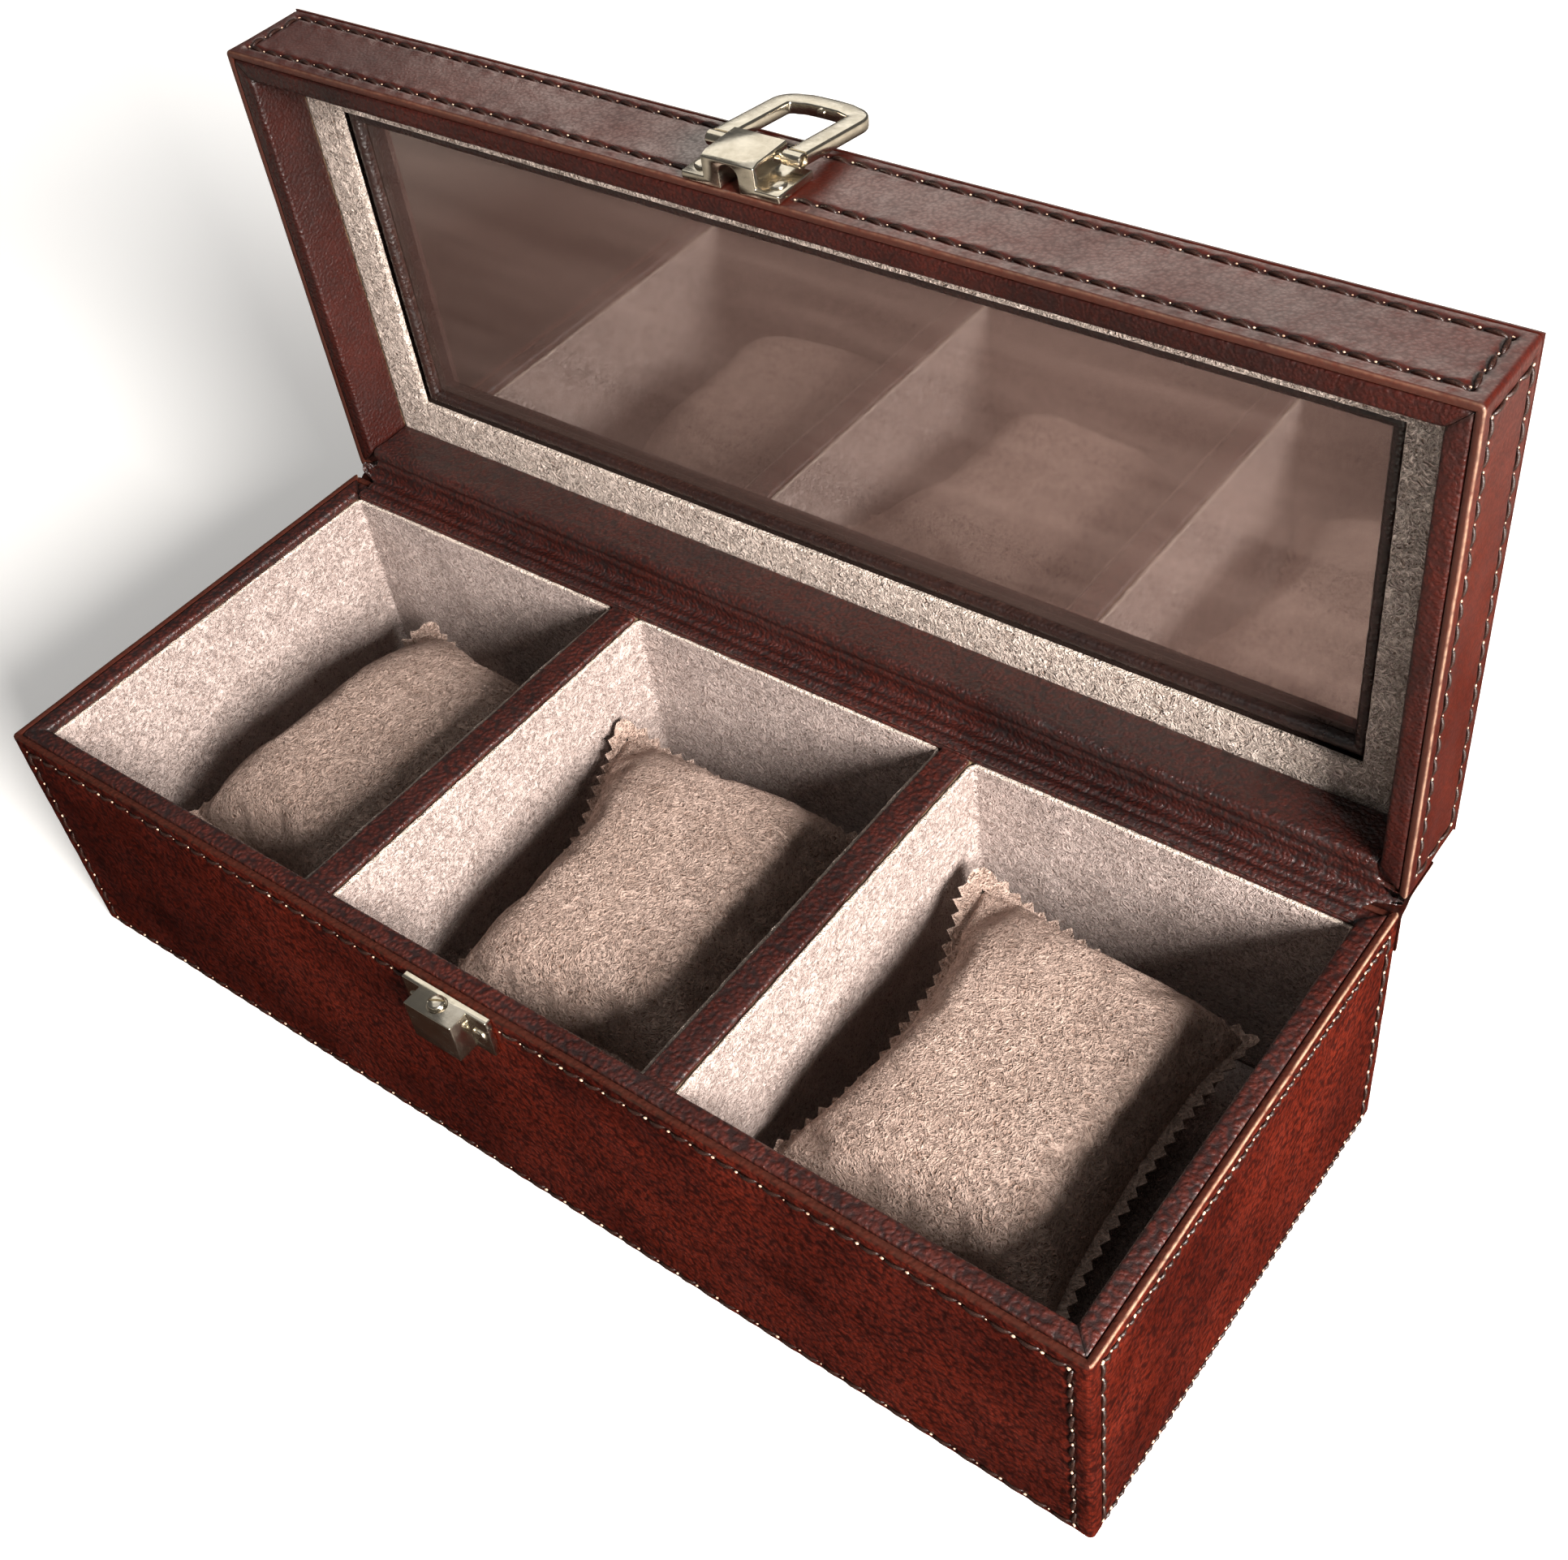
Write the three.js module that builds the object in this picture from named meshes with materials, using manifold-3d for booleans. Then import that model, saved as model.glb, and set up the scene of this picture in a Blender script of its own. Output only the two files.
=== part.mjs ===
// Watch box: a leather-covered box for three watches, with a glass lid, suede pillows and a loop clasp.
// Millimetres, +Z up, +X to the right along the box, front at -Y, origin at the centre of the underside.
// The lid stands open at a right angle.
import * as THREE from 'three';
import { mergeVertices } from 'three/addons/utils/BufferGeometryUtils.js';
import Module from 'manifold-3d';

const wasm = await Module();
wasm.setup();

// ---- Driving dimensions ----
const length = 280;
const width = 110;
const baseHeight = 63;
const lidHeight = 22;
const glueGap = 0.2;
const rimGap = 0.3;

// wall build-up, from the outside in
const leatherThickness = 1.6;
const boardThickness = 3.4;
const liningThickness = 1;
const boardStart = leatherThickness + glueGap;
const boardEnd = boardStart + boardThickness;
const liningStart = boardEnd + glueGap;
const wallThickness = liningStart + liningThickness;
const rimThickness = 1.2;
const rimLip = 2.2;
const rimOverhang = 0.6;
const rimInner = liningStart + rimOverhang;

// floor build-up, from the underside up
const bottomCoverThickness = 1;
const floorBoardThickness = 3;
const floorBoardBottom = bottomCoverThickness + glueGap;
const floorTop = floorBoardBottom + floorBoardThickness;
const floorLiningBottom = floorTop + glueGap;
const floorLiningTop = floorLiningBottom + liningThickness;

// dividers between the three compartments
const dividerPitch = 91;
const dividerThickness = 7;
const dividerTop = baseHeight - 1.4;
const capThickness = 1.2;

// pillows
const pillowLength = 64;
const pillowDepth = 80;
const pillowHeight = 44;
const pillowCrown = 9;
const pillowCorner = 12.5;
const pillowCentres = { left: -84.5, centre: -1, right: 90 };
const pillowClearance = 0.4;

// lid glazing, measured from the rim plane towards the lid's top
const suedeFrameDepth = 12.4;
const suedeFrameInner = 16.6;
const beadInner = 20;
const beadThickness = 2.4;
const beadShoulder = 1;
const beadDrop = 0.4;
const glassThickness = 2;
const topLeatherThickness = 1.2;
const topBoardThickness = 2;
const topFrameInner = 18.4;

// leather hinge along the back
const hingeBehind = 1.2;
const hingeDrop = 0.4;
const hingeLeather = 0.8;
const hingeStripEnds = wallThickness + glueGap;
const outerStripThickness = 1;
const outerStripReach = 12;

// clasp
const claspCentre = -1;
const claspPlateWidth = 22.4;
const claspPlateThickness = 1.7;
const claspPlateHeight = 10.4;
const keeperHeight = 10;
const keeperBlockWidth = 12.4;
const keeperDepth = 6.1;
const hoodWidth = 12;
const hoodDepth = 6.3;
const hoodSlotWidth = 4.4;
const hoodSlotDepth = 5.2;
const claspRimInset = 0.1;
const studRadius = 1.85;
const studHeight = 1.6;
const studOffset = 3.2;
const screwRadius = 1.8;
const screwHeadHeight = 0.6;
const screwOffset = 8.6;
const claspScrewHeight = 3.4;
const pivotHeight = 8.6;
const pivotOffset = 4.1;
const pinRadius = 0.9;
const pinClearance = 0.25;
const bailThickness = 2.8;
const bailOuter = 10.9;
const bailInner = 6.5;
const bailReach = 20.1;
const bailTip = 23.7;
const bailShoulder = 17.8;
const bailArch = 1.2;
const bailCornerPull = 2;
const bailInnerCorner = 1.6;
const bailKnuckle = 1.5;
const bailKnuckleChamfer = 0.6;
const bailLugLength = 0.8;
const bailLugHalfWidth = 1;
const pinEndInset = 1;
const boreEndInset = 0.7;
const bailTilt = THREE.MathUtils.degToRad(7);
const roundSegments = 16;

// ---- Materials ----
function finish(color, roughness, metalness = 0) {
  return new THREE.MeshStandardMaterial({ color, roughness, metalness });
}
const leatherFinish = finish(0x5a1f16, 0.4);
const rimFinish = finish(0x532a22, 0.5);
const darkLeatherFinish = finish(0x2e130d, 0.35);
const boardFinish = finish(0x9c7a55, 0.8);
const suedeFinish = finish(0xcbb5a4, 0.95);
const pillowFinish = finish(0xb9a08a, 0.95);
const nickelFinish = finish(0xcfc9b8, 0.25, 1);
const glassFinish = finish(0x9aa39c, 0.05);
glassFinish.transparent = true;
glassFinish.opacity = 0.35;

// ---- Geometry helpers ----
function closedFromPoints(points, faces) {
  const geometry = new THREE.BufferGeometry();
  geometry.setAttribute('position', new THREE.Float32BufferAttribute(points.flat(), 3));
  geometry.setIndex(faces.flat());
  return facingOut(geometry);
}

// Turns every triangle over if together they enclose a negative volume.
function facingOut(geometry) {
  const position = geometry.attributes.position;
  const index = geometry.index.array;
  const [a, b, c] = [new THREE.Vector3(), new THREE.Vector3(), new THREE.Vector3()];
  let volume = 0;
  for (let k = 0; k < index.length; k += 3) {
    a.fromBufferAttribute(position, index[k]);
    b.fromBufferAttribute(position, index[k + 1]);
    c.fromBufferAttribute(position, index[k + 2]);
    volume += a.dot(b.cross(c));
  }
  if (volume < 0) geometry.setIndex(Array.from(index).reverse());
  return geometry;
}

// Sweeps a profile of [inward, up] points through sections; each section maps a profile point to a place.
function sweep(profile, sections, closed) {
  const count = profile.length;
  const points = sections.flatMap((section) => profile.map(([inward, up]) => section(inward, up)));
  const faces = [];
  const lastSpan = closed ? sections.length : sections.length - 1;
  for (let span = 0; span < lastSpan; span++) {
    const here = span * count;
    const there = ((span + 1) % sections.length) * count;
    for (let k = 0; k < count; k++) {
      const next = (k + 1) % count;
      faces.push([here + k, there + k, there + next], [here + k, there + next, here + next]);
    }
  }
  if (!closed) {
    const outline = profile.map(([inward, up]) => new THREE.Vector2(inward, up));
    const end = (sections.length - 1) * count;
    for (const [a, b, c] of THREE.ShapeUtils.triangulateShape(outline, [])) {
      faces.push([a, b, c], [end + a, end + c, end + b]);
    }
  }
  return closedFromPoints(points, faces);
}

// Four directions round the box: each side's half run, its distance from the centre and its turn about Z.
const sides = {
  front: { halfRun: length / 2, reach: width / 2, turn: 0 },
  right: { halfRun: width / 2, reach: length / 2, turn: Math.PI / 2 },
  back: { halfRun: length / 2, reach: width / 2, turn: Math.PI },
  left: { halfRun: width / 2, reach: length / 2, turn: -Math.PI / 2 },
};

// One mitred side: a profile of [distance in from the outer face, height] points run along one wall.
function mitredSide(profile, side) {
  const { halfRun, reach, turn } = sides[side];
  const cornerGap = glueGap / 2;
  const section = (end) => (inward, up) => [end * (halfRun - inward - cornerGap), inward - reach, up];
  const geometry = sweep(profile, [section(-1), section(1)], false);
  geometry.rotateZ(turn);
  return geometry;
}

// The same profile run round all four walls in one piece.
function mitredRing(profile, halfLength = length / 2, halfWidth = width / 2) {
  const corners = [[-1, -1], [1, -1], [1, 1], [-1, 1]];
  const sections = corners.map(([sx, sy]) => (inward, up) => [
    sx * (halfLength - inward), sy * (halfWidth - inward), up,
  ]);
  return sweep(profile, sections, true);
}

function rectangle(left, bottom, right, top) {
  return [[left, bottom], [right, bottom], [right, top], [left, top]];
}

function block(sizeX, sizeY, sizeZ, x, y, z) {
  return new THREE.BoxGeometry(sizeX, sizeY, sizeZ).translate(x, y, z);
}

function disc(radius, height, x, y, z, axis = 'z') {
  const geometry = new THREE.CylinderGeometry(radius, radius, height, roundSegments);
  if (axis === 'z') geometry.rotateX(Math.PI / 2);
  if (axis === 'x') geometry.rotateZ(Math.PI / 2);
  return geometry.translate(x, y, z);
}

function joined(geometry) {
  const bare = geometry.clone();
  bare.deleteAttribute('normal');
  bare.deleteAttribute('uv');
  return mergeVertices(bare);
}

function toSolid(geometry) {
  const merged = joined(geometry);
  return new wasm.Manifold(new wasm.Mesh({
    numProp: 3,
    vertProperties: new Float32Array(merged.attributes.position.array),
    triVerts: new Uint32Array(merged.index.array),
  }));
}

function fromSolid(solid) {
  const mesh = solid.getMesh();
  const geometry = new THREE.BufferGeometry();
  geometry.setAttribute('position', new THREE.BufferAttribute(new Float32Array(mesh.vertProperties), 3));
  geometry.setIndex(new THREE.BufferAttribute(new Uint32Array(mesh.triVerts), 1));
  return geometry;
}

const box = new THREE.Group();
const lid = new THREE.Group();
const lidOpening = new THREE.Group();

function add(parent, name, geometry, material) {
  const mesh = new THREE.Mesh(geometry, material);
  mesh.name = name;
  mesh.geometry.computeVertexNormals();
  parent.add(mesh);
  return mesh;
}

// ---- Base ----
function addBaseShell() {
  const coverLength = length - 2 * boardStart;
  const coverWidth = width - 2 * boardStart;
  add(box, 'base_bottom_cover',
    block(coverLength, coverWidth, bottomCoverThickness, 0, 0, bottomCoverThickness / 2), darkLeatherFinish);
  add(box, 'base_floor_board',
    block(coverLength, coverWidth, floorBoardThickness, 0, 0, floorBoardBottom + floorBoardThickness / 2),
    boardFinish);
  const boardTop = baseHeight - rimThickness - glueGap;
  for (const side of Object.keys(sides)) {
    // the back rim sits lower, to take the hinge leather
    const rimTop = side === 'back' ? baseHeight - hingeLeather - glueGap : baseHeight;
    const lowered = baseHeight - rimTop;
    add(box, `base_${side}_leather`, mitredSide(rectangle(0, 0, leatherThickness, rimTop), side), leatherFinish);
    add(box, `base_${side}_board`,
      mitredSide(rectangle(boardStart, floorLiningBottom, boardEnd, boardTop - lowered), side), boardFinish);
    const rimProfile = [
      [boardStart, rimTop - rimThickness],
      [liningStart, rimTop - rimThickness],
      [liningStart, baseHeight - rimLip],
      [rimInner, baseHeight - rimLip],
      [rimInner, rimTop],
      [boardStart, rimTop],
    ];
    add(box, `base_rim_${side}`, mitredSide(rimProfile, side), rimFinish);
  }
}

// ---- Dividers and linings ----
const compartments = { left: -dividerPitch, centre: 0, right: dividerPitch };
const liningTop = baseHeight - rimLip - glueGap;
const innerHalfLength = length / 2 - liningStart;
const innerHalfWidth = width / 2 - liningStart;

function addDividers() {
  const boardBottom = floorLiningBottom;
  const boardTop = dividerTop - capThickness - glueGap;
  const boardRun = 2 * (width / 2 - boardEnd - glueGap);
  for (const [name, direction] of [['left', -1], ['right', 1]]) {
    const x = direction * dividerPitch / 2;
    add(box, `divider_${name}_board`,
      block(dividerThickness, boardRun, boardTop - boardBottom, x, 0, (boardTop + boardBottom) / 2), boardFinish);
    const capRun = 2 * (width / 2 - rimInner - glueGap);
    add(box, `divider_${name}_cap`,
      block(dividerThickness, capRun, capThickness, x, 0, dividerTop - capThickness / 2), rimFinish);
  }
}

function compartmentBounds(name) {
  const clear = dividerThickness / 2 + glueGap;
  const low = name === 'left' ? -innerHalfLength : compartments[name] - dividerPitch / 2 + clear;
  const high = name === 'right' ? innerHalfLength : compartments[name] + dividerPitch / 2 - clear;
  return { centre: (low + high) / 2, half: (high - low) / 2 };
}

function addLinings() {
  for (const name of Object.keys(compartments)) {
    const { centre, half } = compartmentBounds(name);
    const wall = mitredRing(rectangle(0, floorLiningBottom, liningThickness, liningTop), half, innerHalfWidth);
    add(box, `lining_wall_${name}`, wall.translate(centre, 0, 0), suedeFinish);
    const inset = 2 * (liningThickness + glueGap);
    add(box, `lining_floor_${name}`,
      block(2 * half - inset, 2 * innerHalfWidth - inset, liningThickness, centre, 0,
        floorLiningBottom + liningThickness / 2),
      suedeFinish);
  }
}

// ---- Pillows: a rounded section run across the compartment, with crowned ends ----
function pillowGeometry() {
  const halfDepth = pillowDepth / 2 - pillowCrown;
  const halfHeight = pillowHeight / 2 - pillowCrown;
  const corner = pillowCorner;
  const section = new THREE.Shape();
  section.moveTo(-halfDepth + corner, -halfHeight);
  section.lineTo(halfDepth - corner, -halfHeight);
  section.quadraticCurveTo(halfDepth, -halfHeight, halfDepth, -halfHeight + corner);
  section.lineTo(halfDepth, halfHeight - corner);
  section.quadraticCurveTo(halfDepth, halfHeight, halfDepth - corner, halfHeight);
  section.lineTo(-halfDepth + corner, halfHeight);
  section.quadraticCurveTo(-halfDepth, halfHeight, -halfDepth, halfHeight - corner);
  section.lineTo(-halfDepth, -halfHeight + corner);
  section.quadraticCurveTo(-halfDepth, -halfHeight, -halfDepth + corner, -halfHeight);
  const run = pillowLength - 2 * pillowCrown;
  const geometry = new THREE.ExtrudeGeometry(section, {
    depth: run, steps: 1, curveSegments: 3, bevelEnabled: true, bevelThickness: pillowCrown,
    bevelSize: pillowCrown, bevelSegments: 3,
  });
  geometry.translate(0, 0, -run / 2);
  geometry.rotateX(Math.PI / 2);
  geometry.rotateZ(Math.PI / 2);
  return geometry;
}

function addPillows() {
  for (const [name, x] of Object.entries(pillowCentres)) {
    const pillow = add(box, `pillow_${name}`, fromSolid(toSolid(pillowGeometry())), pillowFinish);
    pillow.position.set(x, 0, floorLiningTop + pillowClearance + pillowHeight / 2);
  }
}

// ---- Clasp: keeper on the base, hood and bail on the lid ----
// The T-shaped section of a plate with a block in its middle, standing out from the leather.
function plateOutline(blockWidth, blockDepth, slot) {
  const plate = claspPlateWidth / 2;
  const half = blockWidth / 2;
  const outline = new THREE.Shape();
  outline.moveTo(-plate, 0);
  if (slot) {
    outline.lineTo(-hoodSlotWidth / 2, 0);
    outline.lineTo(-hoodSlotWidth / 2, hoodSlotDepth - hoodSlotWidth / 2);
    outline.absarc(0, hoodSlotDepth - hoodSlotWidth / 2, hoodSlotWidth / 2, Math.PI, 0, true);
    outline.lineTo(hoodSlotWidth / 2, 0);
  }
  outline.lineTo(plate, 0);
  outline.lineTo(plate, claspPlateThickness);
  outline.lineTo(half, claspPlateThickness);
  outline.lineTo(half, blockDepth);
  outline.lineTo(-half, blockDepth);
  outline.lineTo(-half, claspPlateThickness);
  outline.lineTo(-plate, claspPlateThickness);
  outline.closePath();
  return outline;
}

// Runs an outline up a wall: outline y points out of the front face.
function uprightPlate(outline, bottom, top) {
  const geometry = new THREE.ExtrudeGeometry(outline, {
    depth: top - bottom, bevelEnabled: false, curveSegments: 6,
  });
  geometry.scale(1, -1, 1);
  geometry.translate(claspCentre, -width / 2, bottom);
  return facingOut(joined(geometry));
}

function addScrews(parent, prefix, z) {
  for (const [name, direction] of [['left', -1], ['right', 1]]) {
    const y = -width / 2 - claspPlateThickness - glueGap - screwHeadHeight / 2;
    const head = disc(screwRadius, screwHeadHeight, claspCentre + direction * screwOffset, y, z, 'y');
    add(parent, `${prefix}_screw_${name}`, head, nickelFinish);
  }
}

function addKeeper() {
  const plate = uprightPlate(plateOutline(keeperBlockWidth, keeperDepth, false), baseHeight - keeperHeight, baseHeight);
  plate.translate(0, -glueGap, 0);
  add(box, 'keeper_plate', plate, nickelFinish);
  const stud = disc(studRadius, studHeight, claspCentre, -width / 2 - studOffset, baseHeight + glueGap + studHeight / 2);
  add(box, 'keeper_stud', stud, nickelFinish);
  const screws = new THREE.Group();
  screws.position.y = -glueGap;
  box.add(screws);
  addScrews(screws, 'keeper', baseHeight - keeperHeight / 2);
}

function addLidClasp() {
  const bottom = claspRimInset;
  const top = claspRimInset + claspPlateHeight;
  const plate = uprightPlate(plateOutline(hoodWidth, hoodDepth, true), bottom, top);
  const bore = disc(pinRadius + pinClearance, 2 * hoodWidth, claspCentre, -width / 2 - pivotOffset, pivotHeight, 'x');
  const hood = fromSolid(toSolid(plate).subtract(toSolid(bore)));
  add(lid, 'clasp_plate', hood.translate(0, -glueGap, 0), nickelFinish);
  const fittings = new THREE.Group();
  fittings.position.y = -glueGap;
  lid.add(fittings);
  addScrews(fittings, 'clasp', bottom + claspScrewHeight);
  const pin = disc(pinRadius, 2 * (bailOuter - pinEndInset), claspCentre, -width / 2 - pivotOffset, pivotHeight, 'x');
  add(fittings, 'bail_pin', pin, nickelFinish);
  fittings.add(bailGroup());
}

// The bail is a U-shaped loop: two arms beside the hood and an arched far bar with a short lug.
function bailGroup() {
  const outline = new THREE.Shape();
  outline.moveTo(-bailOuter, 0);
  outline.lineTo(-bailOuter, bailShoulder);
  outline.quadraticCurveTo(-bailOuter, bailReach + bailCornerPull, -bailInner, bailTip - bailArch);
  outline.quadraticCurveTo(0, bailTip + bailArch, bailInner, bailTip - bailArch);
  outline.quadraticCurveTo(bailOuter, bailReach + bailCornerPull, bailOuter, bailShoulder);
  outline.lineTo(bailOuter, 0);
  outline.lineTo(bailOuter, -bailKnuckle + bailKnuckleChamfer);
  outline.lineTo(bailOuter - bailKnuckleChamfer, -bailKnuckle);
  outline.lineTo(bailInner, -bailKnuckle);
  const cornerX = bailInner - bailInnerCorner;
  const cornerY = bailReach - bailInnerCorner;
  outline.lineTo(bailInner, cornerY);
  outline.absarc(cornerX, cornerY, bailInnerCorner, 0, Math.PI / 2, false);
  outline.lineTo(bailLugHalfWidth, bailReach);
  outline.lineTo(bailLugHalfWidth, bailReach - bailLugLength);
  outline.lineTo(-bailLugHalfWidth, bailReach - bailLugLength);
  outline.lineTo(-bailLugHalfWidth, bailReach);
  outline.absarc(-cornerX, cornerY, bailInnerCorner, Math.PI / 2, Math.PI, false);
  outline.lineTo(-bailInner, -bailKnuckle);
  outline.lineTo(-bailOuter + bailKnuckleChamfer, -bailKnuckle);
  outline.lineTo(-bailOuter, -bailKnuckle + bailKnuckleChamfer);
  outline.closePath();
  const loop = new THREE.ExtrudeGeometry(outline, {
    depth: bailThickness, bevelEnabled: false, curveSegments: 5,
  });
  loop.translate(0, 0, -bailThickness / 2);
  loop.rotateX(Math.PI / 2);
  // bores for the pin, stopping short of the arms' outer faces
  const bore = disc(pinRadius + pinClearance, 2 * (bailOuter - boreEndInset), 0, 0, 0, 'x');
  const group = new THREE.Group();
  group.position.set(claspCentre, -width / 2 - pivotOffset, pivotHeight);
  group.rotation.x = -bailTilt;
  add(group, 'bail', fromSolid(toSolid(loop).subtract(toSolid(bore))), nickelFinish);
  return group;
}

// ---- Lid, drawn closed with its rim plane at height 0; heights run up to the lid's top ----
function addLidShell() {
  const sideTop = lidHeight - topLeatherThickness - glueGap;
  const boardTop = sideTop - topBoardThickness - glueGap;
  for (const side of Object.keys(sides)) {
    const rimBottom = side === 'back' ? hingeLeather + glueGap : 0;
    add(lid, `lid_${side}_leather`, mitredSide(rectangle(0, rimBottom, leatherThickness, sideTop), side),
      leatherFinish);
    add(lid, `lid_${side}_board`,
      mitredSide(rectangle(boardStart, rimBottom + rimThickness + glueGap, boardEnd, boardTop), side), boardFinish);
    const lipTop = suedeFrameDepth - glueGap;
    const rimProfile = [
      [boardStart, rimBottom],
      [rimInner, rimBottom],
      [rimInner, lipTop],
      [liningStart, lipTop],
      [liningStart, rimBottom + rimThickness],
      [boardStart, rimBottom + rimThickness],
    ];
    add(lid, `lid_rim_${side}`, mitredSide(rimProfile, side), rimFinish);
  }
  add(lid, 'lid_top_leather',
    mitredRing(rectangle(0, sideTop + glueGap, topFrameInner, lidHeight)), leatherFinish);
  add(lid, 'lid_top_frame',
    mitredRing(rectangle(boardStart, boardTop + glueGap, topFrameInner, sideTop)), boardFinish);
}

function addGlazing() {
  const sideTop = lidHeight - topLeatherThickness - glueGap;
  const glassTop = sideTop - topBoardThickness - glueGap;
  const glassInset = boardEnd + glueGap;
  add(lid, 'glass_pane',
    block(length - 2 * glassInset, width - 2 * glassInset, glassThickness, 0, 0, glassTop - glassThickness / 2),
    glassFinish);
  const beadTop = glassTop - glassThickness - glueGap;
  const beadBottom = beadTop - beadThickness;
  const beadProfile = [
    [boardEnd + glueGap, beadTop],
    [boardEnd + glueGap, beadBottom + beadShoulder],
    [suedeFrameInner, beadBottom],
    [beadInner - beadShoulder, beadBottom + beadDrop],
    [beadInner, beadBottom + beadShoulder + beadDrop],
    [beadInner, beadTop],
  ];
  add(lid, 'glazing_bead', mitredRing(beadProfile), darkLeatherFinish);
  const frameBottom = suedeFrameDepth;
  add(lid, 'lid_suede_frame',
    mitredRing(rectangle(boardEnd + glueGap, frameBottom, suedeFrameInner, beadBottom - glueGap)), suedeFinish);
}

// ---- Leather hinge: an inner strip folded over both rims and an outer strip across the joint ----
function addHingeStrips() {
  const run = length - 2 * hingeStripEnds;
  const lidRimPlane = width / 2 + hingeBehind + hingeDrop + rimGap;
  const lidBackFace = baseHeight - hingeDrop + hingeBehind;
  const top = baseHeight;
  const under = top - hingeLeather;
  const face = lidRimPlane;
  const behind = face + hingeLeather;
  const shelf = lidBackFace + rimInner + glueGap;
  const inner = [
    [width / 2 - rimInner, under],
    [behind, under],
    [behind, shelf],
    [face + suedeFrameDepth - glueGap, shelf],
    [face + suedeFrameDepth - glueGap, shelf + hingeLeather],
    [face, shelf + hingeLeather],
    [face, top],
    [width / 2 - rimInner, top],
  ];
  add(box, 'hinge_strip_inner', alongX(inner, run), rimFinish);
  const outerFace = width / 2 + glueGap;
  const outerBelow = lidBackFace - glueGap - outerStripThickness;
  const foldTop = under - glueGap;
  const foldBack = behind + glueGap;
  const outer = [
    [outerFace, baseHeight - outerStripReach],
    [outerFace + outerStripThickness, baseHeight - outerStripReach],
    [outerFace + outerStripThickness, foldTop - outerStripThickness],
    [foldBack + outerStripThickness, foldTop - outerStripThickness],
    [foldBack + outerStripThickness, outerBelow],
    [face + outerStripReach, outerBelow],
    [face + outerStripReach, outerBelow + outerStripThickness],
    [foldBack, outerBelow + outerStripThickness],
    [foldBack, foldTop],
    [outerFace, foldTop],
  ];
  add(box, 'hinge_strip_outer', alongX(outer, run), leatherFinish);
}

function alongX(outline, run) {
  const section = (x) => (y, z) => [x, y, z];
  return sweep(outline, [section(-run / 2), section(run / 2)], false);
}

addBaseShell();
addDividers();
addLinings();
addPillows();
addKeeper();
addHingeStrips();
addLidShell();
addGlazing();
addLidClasp();

// The lid turns about an axis just behind the back edge.
lid.position.set(0, -(width / 2 + hingeBehind), hingeDrop + rimGap);
lidOpening.add(lid);
lidOpening.position.set(0, width / 2 + hingeBehind, baseHeight - hingeDrop);
lidOpening.rotation.x = -Math.PI / 2;
box.add(lidOpening);

export default box;
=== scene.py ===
"""Watch box: leather shell, suede linings and pillows, glass lid and loop clasp, built round the CAD frame.

The frame is in metres, +Z up, +X to the right along the box, front at -Y. Shapes below are worked out in
millimetres and turned into metres when a mesh is made. The lid is drawn shut, then stood open.
"""

import math

import bpy
import numpy as np
from mathutils import Matrix, Vector


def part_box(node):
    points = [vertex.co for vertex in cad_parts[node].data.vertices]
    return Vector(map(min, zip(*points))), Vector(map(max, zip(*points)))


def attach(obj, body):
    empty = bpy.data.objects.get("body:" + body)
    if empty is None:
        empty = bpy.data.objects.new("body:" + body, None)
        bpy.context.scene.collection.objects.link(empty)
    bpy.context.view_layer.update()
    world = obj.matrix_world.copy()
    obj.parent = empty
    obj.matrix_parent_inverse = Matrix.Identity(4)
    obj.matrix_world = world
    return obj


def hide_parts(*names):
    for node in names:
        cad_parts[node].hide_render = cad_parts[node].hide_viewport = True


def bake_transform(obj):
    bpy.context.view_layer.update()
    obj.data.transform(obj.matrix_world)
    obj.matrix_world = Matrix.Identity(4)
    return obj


MM = 0.001
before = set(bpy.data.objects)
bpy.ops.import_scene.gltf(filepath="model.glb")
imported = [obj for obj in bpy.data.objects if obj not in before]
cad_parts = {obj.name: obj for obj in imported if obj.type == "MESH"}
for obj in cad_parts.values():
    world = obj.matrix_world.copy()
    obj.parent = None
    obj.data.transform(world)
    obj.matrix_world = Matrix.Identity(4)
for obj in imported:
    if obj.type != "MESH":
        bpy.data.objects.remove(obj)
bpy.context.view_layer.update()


# ---- Sizes read from the frame, in millimetres ----
def low(node):
    return np.array(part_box(node)[0]) / MM


def high(node):
    return np.array(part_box(node)[1]) / MM


HALF_LENGTH = high("base_right_leather")[0]
HALF_WIDTH = -low("base_front_leather")[1]
BASE_TOP = high("base_front_leather")[2]
LEATHER = high("base_front_leather")[1] + HALF_WIDTH
RIM_START = HALF_WIDTH + low("base_rim_front")[1]
RIM_INNER = HALF_WIDTH + high("base_rim_front")[1]
LIP_BOTTOM = low("base_rim_front")[2]
LID_RIM_Y = low("lid_front_leather")[1]
LID_BACK_Z = low("lid_top_leather")[2]
LID_HEIGHT = high("lid_top_leather")[1] - LID_RIM_Y
LID_SIDE_TOP = high("lid_front_leather")[1] - LID_RIM_Y
LID_LINING_TOP = high("lid_rim_front")[1] - LID_RIM_Y

SIDES = {
    "front": (HALF_LENGTH, HALF_WIDTH, 0),
    "right": (HALF_WIDTH, HALF_LENGTH, 1),
    "back": (HALF_LENGTH, HALF_WIDTH, 2),
    "left": (HALF_WIDTH, HALF_LENGTH, 3),
}


# Pieces that one softbox alone lights, as a card held up to them in a studio would.
METAL_PIECES = bpy.data.collections.new("metal_pieces")
LID_PIECES = bpy.data.collections.new("lid_pieces")


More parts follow.
